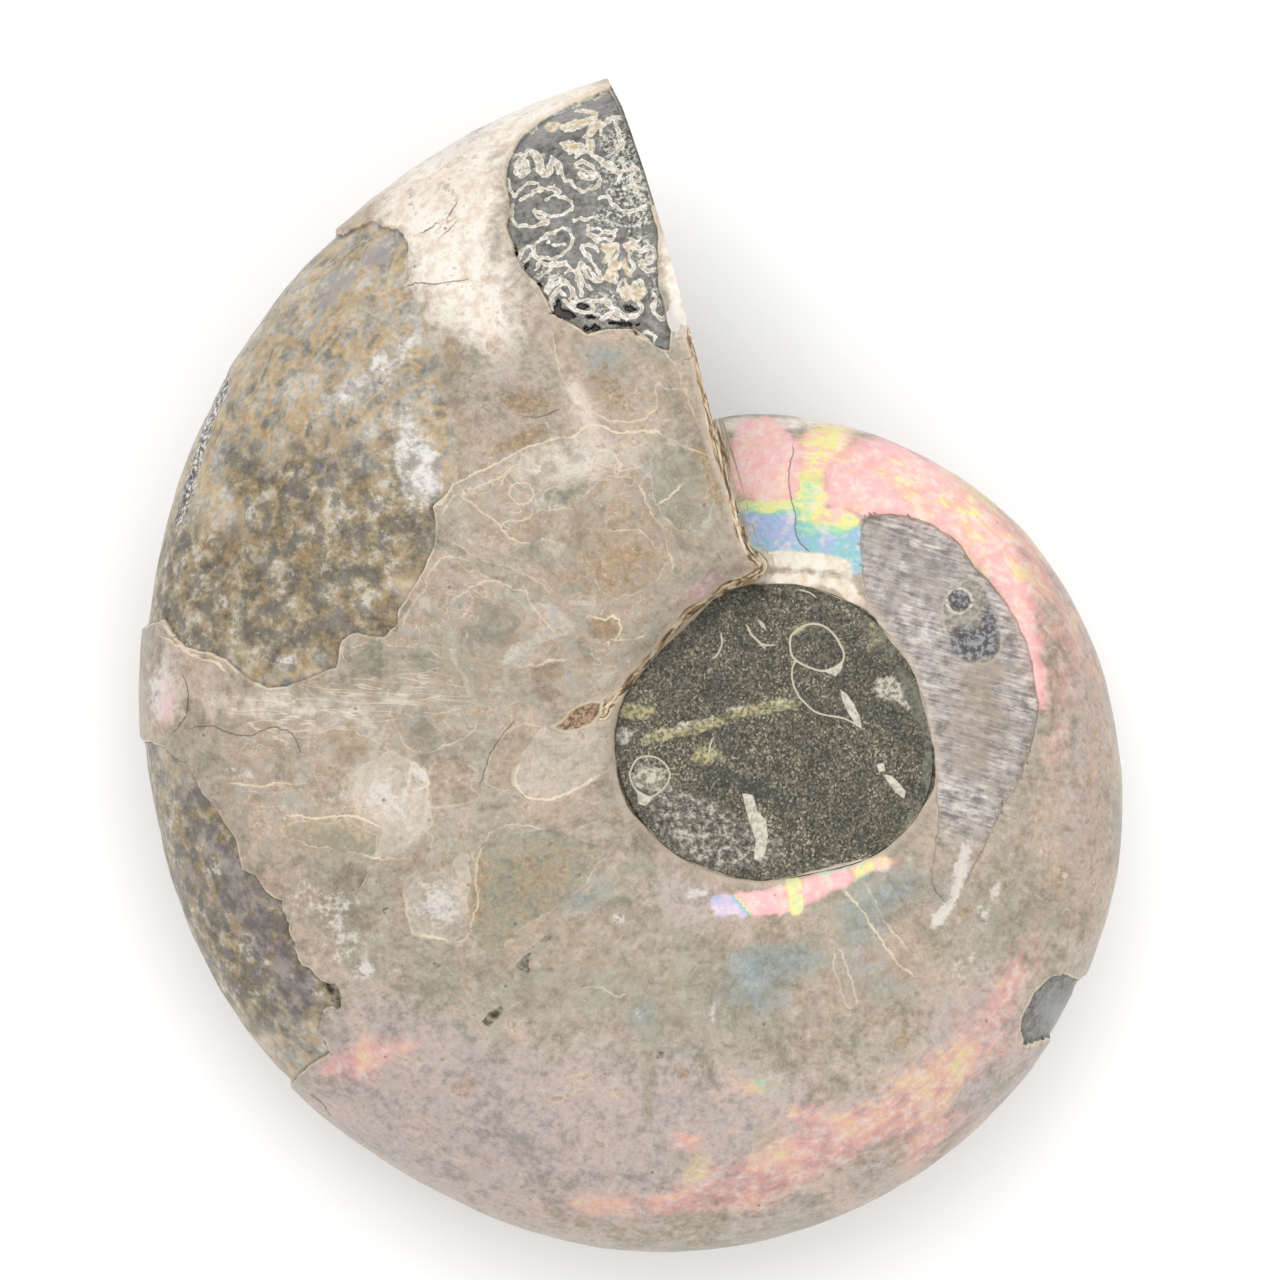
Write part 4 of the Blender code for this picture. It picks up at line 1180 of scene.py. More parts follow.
    fields = {
        "pale": bloom(x, y, PALE_AND_LIT_TOP) * shown, "olive": bloom(x, y, OLIVE) * shown,
        "teal": bloom(x, y, TEAL) * shown, "rose": bloom(x, y, ROSE) * shown,
        "brown": bloom(x, y, BROWN) * shown, "white": bloom(x, y, WHITE_AND_LIT_RIM) * shown,
        "ochre": 0.35 + bloom(x, y, OCHRE) * shown, "snow": bloom(x, y, SNOW) * shown,
        "gold": bloom(*sizes, GOLD), "glow": np.clip(total, 0, 1) * shown, "phase": phase,
        "bright": bright * shown, "soft": soft, "tail": bloom(x, y, TAIL),
        "strata": bloom(x, y, STRATA) * shown, "earthy": bloom(x, y, EARTHY),
        "rough": bloom(x, y, ROUGH), "blades": flakes_of(BLADES, 0.5),
        "tan": flakes_of(TAN_FLAKES), "green": flakes_of(OLIVE_FLAKES),
        "umber": flakes_of(UMBER_FLAKES), "cream": flakes_of(PALE_FLAKES),
        "chips": flakes_of(CHIPS, 0.8),
        "notch": np.clip(edge_distance(NOTCH, x, y), -NARROW, NARROW) + NARROW * (1 - shown),
        "bare": np.clip(bare, -WIDE, WIDE), "dark": dark.astype(float),
        "mouth_stone": np.clip(windows[2], -WIDE, WIDE),
        "ground": np.where(skin, np.clip(ground, -WIDE, WIDE), WIDE),
        "flakes": np.clip(flakes, -NARROW, NARROW), "near_flake": near_flake * shown,
        "lines": np.clip(lines, -NARROW, NARROW), "near_line": near_line * shown,
        "cracks": np.clip(cracks, -NARROW, NARROW), "near_crack": near_crack * shown,
        "suture": np.clip(suture, -SLIM, SLIM), "stain": bloom(x, y, STAINS) * shown,
        "eye": np.clip(edge_distance(curved(EYE, True, 3), x, y), -WIDE, WIDE),
        "hollow": np.clip(hollow * 2 + pits, 0, 1) * shown,
        "groove": np.exp(-(chipped / 7) ** 2) * shown,
        "plug": np.where(points[:, 2] > 0, np.clip(plug_edge(x, y), -WIDE, WIDE), WIDE),
        "lip": bloom(x, y, LIP) * shown, "layered": 0.1 + bloom(x, y, LAYERED) * shown,
        "edge": edge, "edge_run": share * LAST_EDGE_LENGTH, "lilac": bloom(x, y, LILAC),
        "hole": np.abs(np.hypot(x - SMALL_HOLE[0], y - SMALL_HOLE[1]) - SMALL_HOLE[2])
                + WIDE * (1 - shown),
        "shown": shown, "run": run, "reach": reach, "rim": rim,
    }
    for name in ("run", "reach", "rim"):
        mesh.attributes.remove(mesh.attributes[name])
    set_fields(mesh, fields)
    return finished("ammonite_skin", mesh, laid)


# Rings and sectors of the stone in the umbilicus
PLUG_RINGS = 90
PLUG_SECTORS = 300

# Thin shell sections in the front stone: half the width in pixels, the points
SHELL_SECTIONS = (
    (1.2, ((797, 630), (806, 625), (817, 624), (827, 628), (835, 636), (841, 646), (844, 654),
     (842, 662), (834, 668), (823, 671), (811, 668), (800, 663), (792, 656), (790, 645),
     (791, 636), (797, 630))),
    (1.0, ((795, 662), (792, 670), (793, 683), (798, 695), (805, 703), (814, 711), (825, 715),
     (838, 717), (848, 720), (860, 727))),
    (1.0, ((721, 635), (722, 643), (719, 652), (714, 658))),
    (1.3, ((748, 627), (751, 634), (757, 640), (763, 646))),
    (0.9, ((757, 641), (766, 645), (774, 645))),
    (0.8, ((800, 590), (808, 592), (815, 596))),
    (2.2, ((761, 623), (763, 626))),
    (0.9, ((712, 740), (710, 746), (709, 752))),
    (1.0, ((629, 775), (636, 760), (649, 756), (662, 761), (670, 774), (664, 788), (650, 797),
     (636, 790), (629, 775))),
)
# Filled pieces of shell in the front stone
PODS = (
    ((823, 671), (832, 668), (844, 660), (842, 668), (836, 677)),
    ((840, 689), (847, 694), (854, 704), (860, 716), (862, 729), (855, 724), (848, 712),
     (842, 700)),
    ((742, 793), (753, 795), (758, 812), (766, 820), (768, 835), (766, 850), (760, 863),
     (754, 858), (756, 840), (749, 822)),
    ((876, 764), (884, 763), (885, 771), (879, 772)),
    ((883, 774), (892, 776), (900, 784), (906, 792), (904, 799), (895, 792), (888, 782)),
    ((637, 790), (650, 797), (655, 796), (646, 806), (638, 804)),
)
# Soft spots on the front stone, of the same form as the shell's
PLUG_PALE = (
    (889, 688, 19, 15, 20, 1.1), (903, 704, 14, 5, 50, 0.9), (624, 736, 11, 11, 0, 1.1),
    (649, 777, 22, 21, 0, 0.85), (829, 605, 7, 6, 0, 0.8), (690, 724, 34, 4, -14, 0.9),
    (735, 708, 26, 4, -12, 0.8), (785, 703, 20, 3, -5, 0.6), (690, 838, 26, 16, 30, 0.5))
PLUG_OLIVE = (
    (692, 728, 44, 8, -12, 1.2), (765, 708, 46, 7, -8, 1.2), (655, 738, 20, 6, -10, 0.8),
    (708, 755, 20, 13, 0, 0.85), (634, 712, 22, 10, 0, 1.1), (800, 628, 14, 6, -40, 0.8),
    (872, 640, 16, 40, -30, 0.5))
# Dark stone, and painted shadow along the upper left edge, where the last turn overhangs the stone
PLUG_DARK_AND_SHADOW = (
    (728, 778, 46, 11, 24, 1.1), (785, 806, 50, 20, 40, 0.6), (700, 626, 44, 14, -40, 0.9),
    (660, 668, 30, 14, -45, 0.6), (815, 648, 27, 21, 0, 0.35), (640, 790, 14, 30, -30, 0.7))
PLUG_SMOOTH = (
    (915, 700, 12, 46, -25, 1.2), (929, 765, 8, 44, 0, 1.2), (878, 640, 14, 30, -40, 1.1),
    (912, 820, 10, 22, 40, 0.8))
PLUG_SPECKLED = ((695, 825, 62, 34, 30, 1.3), (740, 850, 50, 22, 0, 1.0))


def plug_piece(name, laid, down):
    """The stone that fills one umbilicus, as a finely divided disc with sides and an underside."""
    sectors = np.arange(PLUG_SECTORS) * 360 / PLUG_SECTORS
    dx, dy = direction(sectors)
    rims = umbilicus_radius(sectors) - SKIN_GAP
    sign = -1 if down else 1
    rows = []
    for ring in range(1, PLUG_RINGS + 1):
        radius = rims * (ring / PLUG_RINGS) ** 0.9
        rows.append((radius, filling_height(dx * radius, dy * radius)))
    rim = filling_height(dx * rims, dy * rims)
    foot = rims - SEAT_DRAFT
    centre = SEAT_CENTRE_SHARE * rims
    rows.append((rims - 0.25 * SEAT_DRAFT, rim - 0.25 * SEAT_DEPTH))
    rows.append((foot, rim - SEAT_DEPTH + 0.05))
    rows.append((centre, filling_height(dx * centre, dy * centre) - SEAT_CENTRE_DEPTH + 0.05))
    points = [np.stack([dx * radius, dy * radius, height], -1) for radius, height in rows]
    points = np.concatenate(points + [[[0, 0, filling_height(0.0, 0.0)]],
                                      [[0, 0, rows[-1][1].mean()]]])
    relief = 0.05 * lumps(*points.T, 3.2, 91) + 0.03 * lumps(*points.T, 1.1, 92)
    top = np.arange(len(points)) < PLUG_RINGS * PLUG_SECTORS
    points[:, 2] += np.where(top, relief, 0)
    x, y = seen_at(points)
    points[:, 2] *= sign
    number = np.arange(len(rows) * PLUG_SECTORS).reshape(len(rows), PLUG_SECTORS)
    after = np.roll(number, -1, axis=1)
    faces = np.stack([number[:-1], number[1:], after[1:], after[:-1]], -1).reshape(-1, 4).tolist()
    middle = len(points) - 2
    faces += [[middle, int(a), int(b)] for a, b in zip(number[0], after[0])]
    faces += [[middle + 1, int(b), int(a)] for a, b in zip(number[-1], after[-1])]
    if down:
        points = above_paper(points, laid)
    mesh = mesh_from(name, points * MM, faces)
    face_outward(mesh)
    section_lines = np.full(len(x), FAR_OFF)
    nearest = np.full(len(x), FAR_OFF)
    for half_width, line in SHELL_SECTIONS:
        found = line_distance(curved(line, steps=3), x, y)[0]
        closer = np.abs(found) - half_width < nearest
        nearest = np.where(closer, np.abs(found) - half_width, nearest)
        section_lines = np.where(closer, found / half_width, section_lines)
    near = 1 - smooth_step(nearest, 2.0, 4.0)
    front = 0.0 if down else 1.0
    pods = np.minimum.reduce([edge_distance(pod, x, y) for pod in PODS])
    fields = {
        "section": np.clip(section_lines, -SLIM, SLIM), "near_section": near * front,
        "pale": bloom(x, y, PLUG_PALE) * front, "olive": bloom(x, y, PLUG_OLIVE) * front,
        "dark": bloom(x, y, PLUG_DARK_AND_SHADOW) * front, "speckled": bloom(x, y, PLUG_SPECKLED) * front,
        "smooth": bloom(x, y, PLUG_SMOOTH) * front,
        "pods": np.clip(pods, -NARROW, NARROW) + 2 * NARROW * (1 - front),
        "plug": np.clip(plug_edge(x, y), -WIDE, WIDE) if front else np.full(len(x), -WIDE),
    }
    set_fields(mesh, fields)
    return finished(name, mesh, laid)


class Finish:
    """Short hands for building one material from nodes."""

    def __init__(self, name, mesh):
        self.layers = {tuple(layer.name.split()): None for layer in mesh.attributes}
        self.material = bpy.data.materials.new(name)
        self.material.use_nodes = True
        self.tree = self.material.node_tree
        self.shader = self.tree.nodes["Principled BSDF"]
        metres = self.tree.nodes.new("ShaderNodeTexCoord").outputs["Object"]
        self.place = self.scaled(metres, 1000, 1000, 1000)
        self.broad = self.noise(self.place, 6.0, 4.0, 0.62, 0.8)
        self.fine = self.noise(self.place, 1.1, 4.0, 0.65)
        self.glint = self.noise(self.place, 0.45, 2.0, 0.6)
        self.shake = self.around(self.fine, 2.4)

    def put(self, socket, value):
        if isinstance(value, bpy.types.NodeSocket):
            self.tree.links.new(value, socket)
        else:
            socket.default_value = value

    def field(self, name):
        """A field of the mesh, out of the layer of three that it is written in."""
        layer = next(layer for layer in self.layers if name in layer)
        if self.layers[layer] is None:
            node = self.tree.nodes.new("ShaderNodeAttribute")
            node.attribute_name = " ".join(layer)
            self.layers[layer] = self.tree.nodes.new("ShaderNodeSeparateXYZ")
            self.put(self.layers[layer].inputs[0], node.outputs["Vector"])
        return self.layers[layer].outputs[layer.index(name)]

    def sum(self, kind, first, second=0.0, third=0.0):
        node = self.tree.nodes.new("ShaderNodeMath")
        node.operation = kind
        for socket, value in zip(node.inputs, (first, second, third)):
            self.put(socket, value)
        return node.outputs[0]

    def fade(self, value, low, high, start=0.0, end=1.0):
        node = self.tree.nodes.new("ShaderNodeMapRange")
        node.interpolation_type = "SMOOTHSTEP"
        for name, given in (("Value", value), ("From Min", low), ("From Max", high),
                            ("To Min", start), ("To Max", end)):
            self.put(node.inputs[name], given)
        return node.outputs[0]

    def noise(self, place, size, detail=3.0, rough=0.5, swirl=0.0):
        """Noise from 0 to 1 whose lumps are about that many millimetres across."""
        node = self.tree.nodes.new("ShaderNodeTexNoise")
        self.put(node.inputs["Vector"], place)
        self.put(node.inputs["Scale"], 1.0 / size)
        self.put(node.inputs["Detail"], detail)
        self.put(node.inputs["Roughness"], rough)
        self.put(node.inputs["Distortion"], swirl)
        return node.outputs["Fac"]

    def around(self, value, swing):
        """A value from 0 to 1 taken to either side of nought."""
        return self.sum("MULTIPLY", self.sum("SUBTRACT", value, 0.5), swing)

    def shaken(self, name, broad, fine):
        """A field with noise added, so that what goes by it has a frayed edge."""
        return self.sum("ADD", self.sum("ADD", self.field(name), self.around(self.broad, broad)),
                        self.around(self.fine, fine))

    def grains(self, place, size):
        """A random number for each grain and the distance to its middle."""
        node = self.tree.nodes.new("ShaderNodeTexVoronoi")
        self.put(node.inputs["Vector"], place)
        self.put(node.inputs["Scale"], 1.0 / size)
        return node.outputs["Color"], node.outputs["Distance"]

    def scaled(self, place, across, down, up):
        node = self.tree.nodes.new("ShaderNodeVectorMath")
        node.operation = "MULTIPLY"
        self.put(node.inputs[0], place)
        node.inputs[1].default_value = (across, down, up)
        return node.outputs[0]

    def turned(self, place, degrees):
        node = self.tree.nodes.new("ShaderNodeVectorRotate")
        node.rotation_type = "Z_AXIS"
        node.inputs["Angle"].default_value = math.radians(degrees)
        self.put(node.inputs["Vector"], place)
        return node.outputs[0]

    def joined(self, first, second):
        node = self.tree.nodes.new("ShaderNodeCombineXYZ")
        self.put(node.inputs[0], first)
        self.put(node.inputs[1], second)
        return node.outputs[0]

    def mix(self, share, first, second):
        node = self.tree.nodes.new("ShaderNodeMix")
        node.data_type = "RGBA"
        self.put(node.inputs[0], share)
        self.put(node.inputs[6], first)
        self.put(node.inputs[7], second)
        return node.outputs[2]

    def over(self, under, colour, *shares):
        """One colour laid over another by the product of the shares."""
        share = shares[0]
        for more in shares[1:]:
            share = self.sum("MULTIPLY", share, more)
        return self.mix(share, under, colour)

    def ramp(self, value, *stops):
        node = self.tree.nodes.new("ShaderNodeValToRGB")
        self.put(node.inputs[0], value)
        line = node.color_ramp.elements
        line[0].position, line[0].color = stops[0][0], linear(*stops[0][1])
        line[1].position, line[1].color = stops[-1][0], linear(*stops[-1][1])
        for position, colour in stops[1:-1]:
            line.new(position).color = linear(*colour)
        return node.outputs[0]

    def bump(self, height, depth):
        """Fine unevenness, height from 0 to 1 over that many millimetres."""
        node = self.tree.nodes.new("ShaderNodeBump")
        node.inputs["Distance"].default_value = depth * MM
        self.put(node.inputs["Height"], height)
        self.put(self.shader.inputs["Normal"], node.outputs[0])


def shades(f, tone, red, green, blue):
    """A colour in a darker and a lighter shade by the tone."""
    colour = (red, green, blue)
    return f.ramp(tone, (0.42, [0.84 * level for level in colour]), (0.5, colour),
                  (0.6, [min(1.1 * level, 255) for level in colour]))


def flank_colour(f, run, reach):
    """The polished shell, in cloudy patches of grey-green, tan and cream with thin flake edges."""
    across = f.joined(run, f.sum("MULTIPLY", reach, 0.16))
    streak = f.noise(across, 0.8, 3.0, 0.6)
    grain = f.noise(f.place, 0.5, 3.0, 0.75)
    tone = f.sum("MULTIPLY_ADD", f.fine, 0.35, f.sum("MULTIPLY", streak, 0.1))
    tone = f.sum("MULTIPLY_ADD", f.broad, 0.3, f.sum("MULTIPLY_ADD", grain, 0.25, tone))
    shell = f.ramp(tone, (0.41, (132, 119, 102)), (0.46, (160, 145, 126)), (0.505, (179, 164, 145)),
                   (0.55, (194, 180, 162)), (0.61, (220, 209, 194)))
    tint = f.noise(f.place, 9.0, 3.0, 0.6)
    shell = f.over(shell, shades(f, tone, 160, 158, 142), f.fade(tint, 0.5, 0.64, 0.0, 0.6))
    shell = f.over(shell, shades(f, tone, 196, 172, 152), f.fade(tint, 0.36, 0.5, 0.5, 0.0))
    cream = linear(234, 217, 192)

    # The polish cuts through thin layers: patches of each, parted by cream edges
    layered = f.field("layered")
    height = f.noise(f.place, 5.0, 3.0, 0.58, 1.4)
    patch = f.ramp(height, (0.36, (140, 137, 122)), (0.435, (156, 146, 128)),
                   (0.44, (190, 172, 152)), (0.50, (178, 160, 138)), (0.545, (192, 174, 154)),
                   (0.55, (164, 150, 128)), (0.62, (214, 204, 189)))
    shell = f.over(shell, patch, f.fade(layered, 0.0, 1.0, 0.15, 0.55))
    seen = f.fade(f.broad, 0.45, 0.56, 0.15, 1.0)
    for level in (0.4375, 0.5475):
        vein = f.sum("ABSOLUTE", f.sum("SUBTRACT", height, level))
        shell = f.over(shell, cream, f.fade(vein, 0.0, 0.007, 0.85, 0.0), seen, layered)
    mottle = f.noise(f.place, 1.5, 3.0, 0.75)
    earthy = f.fade(f.shaken("layered", 2.0, 0.0), 0.0, 1.0, 0.3, 1.0)
    shell = f.over(shell, linear(156, 134, 104), f.fade(mottle, 0.53, 0.62, 0.0, 0.5), earthy)
    shell = f.over(shell, linear(164, 168, 164), f.fade(mottle, 0.36, 0.46, 0.5, 0.0), earthy)
    # Lines where thin layers end: each cream edge has a darker band past it, painted shade below
    # the step
    steps = f.sum("FRACT", f.sum("MULTIPLY", f.noise(across, 3.0, 3.0, 0.6), 8.0))
    strata = f.fade(f.shaken("strata", 1.5, 1.0), 0.2, 0.9)
    shell = f.over(shell, linear(156, 142, 122), f.fade(steps, 0.0, 0.5, 0.25, 0.0), strata)
    shell = f.over(shell, cream, f.fade(steps, 0.8, 0.93, 0.0, 0.65), strata)

    # Soft spots fray with the noise, and flakes have sharp edges, here and there cream
    for name, colour, low, high, strength in (
            ("rose", (190, 175, 170), 0.0, 0.8, 0.75), ("olive", (158, 150, 122), 0.25, 0.75, 0.5),
            ("teal", (146, 157, 152), 0.2, 0.95, 0.75)):
        shell = f.over(shell, shades(f, tone, *colour),
                       f.fade(f.shaken(name, 1.5, 0.8), low, high, 0.0, strength))
    lined = f.fade(f.broad, 0.44, 0.54)
    for name, colour, strength, drawn in (
            ("tan", (172, 148, 120), 0.5, 0.4), ("green", (150, 146, 124), 0.6, 0.4),
            ("umber", (142, 122, 98), 0.65, 0.0), ("cream", (218, 209, 195), 0.48, 0.4)):
        away = f.shaken(name, 9.0, 7.0)
        shell = f.over(shell, shades(f, tone, *colour), f.fade(away, -1.4, 1.0, strength, 0.0),
                       f.fade(f.fine, 0.36, 0.6, 1.0, 0.55))
        shell = f.over(shell, cream, f.fade(f.sum("ABSOLUTE", away), 0.2, 1.3, drawn, 0.0), lined)
    shell = f.over(shell, linear(236, 226, 212), f.fade(f.glint, 0.65, 0.75, 0.0, 0.3))
    # Pale shell, partly painted light on the top of the flank
    pale = f.ramp(f.fine, (0.38, (234, 216, 196)), (0.56, (255, 248, 237)))
    shell = f.over(shell, pale, f.fade(f.shaken("pale", 1.2, 0.6), 0.1, 0.9, 0.0, 0.9))
    rust = f.ramp(grain, (0.4, (134, 106, 76)), (0.6, (176, 146, 102)))
    shell = f.over(shell, rust, f.fade(f.shaken("brown", 2.8, 3.2), 0.25, 0.95, 0.0, 0.7))
    # White specks and flakes, and a painted highlight along the top rim
    white = f.fade(f.sum("ADD", f.shaken("white", 1.2, 1.6), f.around(grain, 1.2)), 0.3, 0.8)
    shell = f.over(shell, linear(234, 228, 224), white, 0.7)
    return shell


def nacre(f, shell, along):
    """Nacre colours: drawn patches on the shown flank, broad drifts over what the flank hides."""
    fleck = f.noise(along, 0.7, 3.0, 0.75)
    bright = f.field("bright")
    sheen = f.sum("ADD", f.around(f.broad, 0.75), f.around(fleck, 0.55))
    sheen = f.sum("ADD", sheen, f.field("phase"))
    blush = f.ramp(sheen, (0.0, (244, 166, 166)), (0.11, (246, 184, 150)), (0.24, (246, 222, 148)),
                   (0.36, (172, 218, 158)), (0.5, (134, 204, 204)), (0.65, (162, 180, 226)),
                   (0.8, (206, 188, 222)), (1.0, (246, 174, 188)))
    shine = f.ramp(sheen, (0.0, (255, 200, 200)), (0.12, (255, 212, 186)), (0.2, (255, 248, 150)),
                   (0.36, (180, 234, 186)), (0.5, (148, 212, 214)), (0.65, (178, 194, 236)),
                   (0.8, (220, 204, 234)), (1.0, (255, 196, 208)))
    colours = f.mix(bright, blush, shine)
    colours = f.over(colours, linear(254, 238, 230), f.fade(f.fine, 0.48, 0.66, 0.0, 0.6))
    colours = f.over(colours, linear(250, 170, 176), f.fade(f.fine, 0.5, 0.38, 0.0, 0.4),
                     f.fade(f.field("phase"), 0.1, 0.15, 1.0, 0.0))
    swing = f.fade(bright, 0.0, 1.0, 2.2, 0.3)
    glow = f.sum("MULTIPLY_ADD", f.sum("SUBTRACT", fleck, 0.5), swing, f.field("glow"))
    glow = f.sum("MULTIPLY_ADD", f.sum("SUBTRACT", f.broad, 0.5), swing, glow)
    shell = f.over(shell, colours, f.fade(glow, 0.1, f.fade(bright, 0.0, 1.0, 1.3, 0.8)),
                   f.fade(bright, 0.0, 1.0, 0.62, 0.95))
    hidden = f.sum("SUBTRACT", 1.0, f.field("shown"))
    turns = f.sum("FRACT", f.sum("MULTIPLY", f.noise(along, 22.0, 1.5), 3.0))
    drift = f.ramp(turns, (0.0, (226, 170, 170)), (0.3, (232, 220, 150)), (0.55, (150, 205, 185)),
                   (0.8, (160, 175, 215)), (1.0, (226, 170, 170)))
    patchy = f.fade(f.sum("MULTIPLY_ADD", fleck, 0.4, f.broad), 0.7, 0.86)
    return f.over(shell, drift, hidden, patchy, 0.5)


def flake_lines(f, shell):
    """The drawn cream edges and dark cracks, broken up by noise."""
    wander = f.sum("ADD", f.around(f.fine, 10.0), f.around(f.broad, 8.0))
    for line, near, width, strength in (("flakes", "near_flake", 1.2, 0.85),
                                        ("lines", "near_line", 0.9, 0.6)):
        away = f.sum("ABSOLUTE", f.sum("ADD", f.field(line), wander))
        shell = f.over(shell, linear(238, 220, 190),
                       f.fade(away, width * 0.4, width * 1.5, strength, 0.0),
                       f.fade(f.broad, 0.36, 0.56, 0.2, 1.0), f.field(near))
    away = f.sum("ABSOLUTE", f.sum("ADD", f.field("cracks"), f.around(f.fine, 6.0)))
    return f.over(shell, linear(98, 76, 58), f.fade(away, 0.2, 1.2, 0.75, 0.0),
                  f.field("near_crack"))


def marbled_stone(f, run, reach):
    """Stone bared by the two windows on the left: soft ochre loops on slate, and brown earth."""
    loops = f.noise(f.joined(f.sum("MULTIPLY", run, 0.5), reach), 2.2, 1.5, 0.45, 0.9)
    band = f.sum("ABSOLUTE", f.sum("SUBTRACT", loops, 0.5))
    reach_of_ochre = f.sum("MULTIPLY_ADD", f.field("ochre"), 0.05, 0.04)
    reach_of_ochre = f.sum("ADD", reach_of_ochre, f.around(f.fine, 0.1))
    ochre = f.fade(f.sum("SUBTRACT", reach_of_ochre, band), -0.07, 0.08)
    slate = f.sum("MULTIPLY_ADD", f.noise(f.place, 2.6, 3.0, 0.6), 0.7,
                  f.sum("MULTIPLY", f.glint, 0.3))
    slate = f.ramp(slate, (0.38, (116, 113, 102)), (0.46, (148, 143, 130)), (0.54, (176, 169, 156)),
                   (0.64, (208, 202, 192)))
    marbled = f.over(slate, f.ramp(f.fine, (0.38, (188, 148, 92)), (0.6, (222, 194, 148))),
                     ochre, 0.68)
    lilac = f.fade(f.shaken("lilac", 2.4, 3.0), 0.25, 0.85, 0.0, 0.75)
    marbled = f.over(marbled, linear(160, 156, 158), lilac)
    grit = f.noise(f.place, 1.9, 4.0, 0.68)
    earth = f.ramp(grit, (0.37, (72, 64, 50)), (0.44, (110, 98, 74)), (0.5, (146, 130, 98)),
                   (0.56, (174, 159, 130)), (0.64, (210, 204, 192)))
    blotch = f.noise(f.joined(f.sum("MULTIPLY", run, 0.8), reach), 1.8, 4.0, 0.7)
    earth = f.over(earth, linear(100, 97, 92), f.fade(blotch, 0.41, 0.5, 0.8, 0.0))
    earth = f.over(earth, linear(164, 132, 82), f.fade(blotch, 0.52, 0.64, 0.0, 0.5))
    earth = f.over(earth, linear(216, 210, 200), f.fade(f.fine, 0.57, 0.68, 0.0, 0.5))
    dusk = f.ramp(blotch, (0.4, (82, 74, 76)), (0.5, (122, 112, 112)), (0.6, (158, 148, 144)))
    earth = f.over(earth, dusk, lilac)
    marbled = f.mix(f.fade(f.shaken("earthy", 2.0, 1.0), 0.3, 0.9, 0.0, 0.85), marbled, earth)
    snow = f.sum("ADD", f.shaken("snow", 1.0, 1.4), f.around(f.glint, 1.0))
    bloomed = f.ramp(grit, (0.42, (164, 156, 146)), (0.5, (206, 200, 192)), (0.58, (240, 237, 234)))
    return f.over(marbled, bloomed, f.fade(snow, 0.35, 1.1, 0.0, 0.85))


def sutured_stone(f):
    """The dark stone at the top, with cream suture lines, golden blades and white grains."""
    night = f.ramp(f.sum("MULTIPLY_ADD", f.glint, 0.4, f.sum("MULTIPLY", f.fine, 0.6)),
                   (0.38, (76, 74, 72)), (0.46, (112, 110, 105)), (0.54, (132, 130, 123)),
                   (0.64, (160, 157, 150)))
    salt = f.ramp(f.noise(f.place, 0.34, 2.0, 0.7), (0.38, (58, 54, 48)), (0.46, (118, 118, 106)),
                  (0.53, (160, 160, 146)), (0.6, (228, 226, 218)))
    # Painted light: the dark stone is lighter under the pale spots at the top
    night = f.over(night, linear(168, 168, 170), f.fade(f.field("pale"), 0.2, 1.2, 0.0, 0.6))
    night = f.over(night, salt, f.fade(f.shaken("rough", 1.2, 1.2), 0.25, 0.8, 0.0, 0.85))
    gold = f.fade(f.shaken("gold", 0.0, 1.5), 0.3, 1.0)
    frill = f.around(f.noise(f.place, 0.42, 2.0, 0.6), 3.6)
    frill = f.sum("ADD", f.field("suture"), frill)
    cream = f.ramp(f.glint, (0.38, (202, 190, 168)), (0.5, (232, 224, 208)),
                   (0.62, (250, 246, 240)))
    cream = f.over(cream, linear(222, 190, 138), gold, 0.5)
    cream = f.over(cream, linear(140, 128, 110), f.fade(frill, 1.0, 1.9, 0.0, 0.5))
    night = f.over(night, cream, f.fade(frill, -0.2, 0.5, 0.0, 0.95))
    blade = f.sum("MULTIPLY_ADD", f.shake, 0.5, f.field("blades"))
    gilt = f.ramp(f.glint, (0.4, (204, 182, 146)), (0.58, (240, 228, 204)))
    return f.over(night, gilt, f.fade(blade, -1.0, 0.8, 0.85, 0.0))


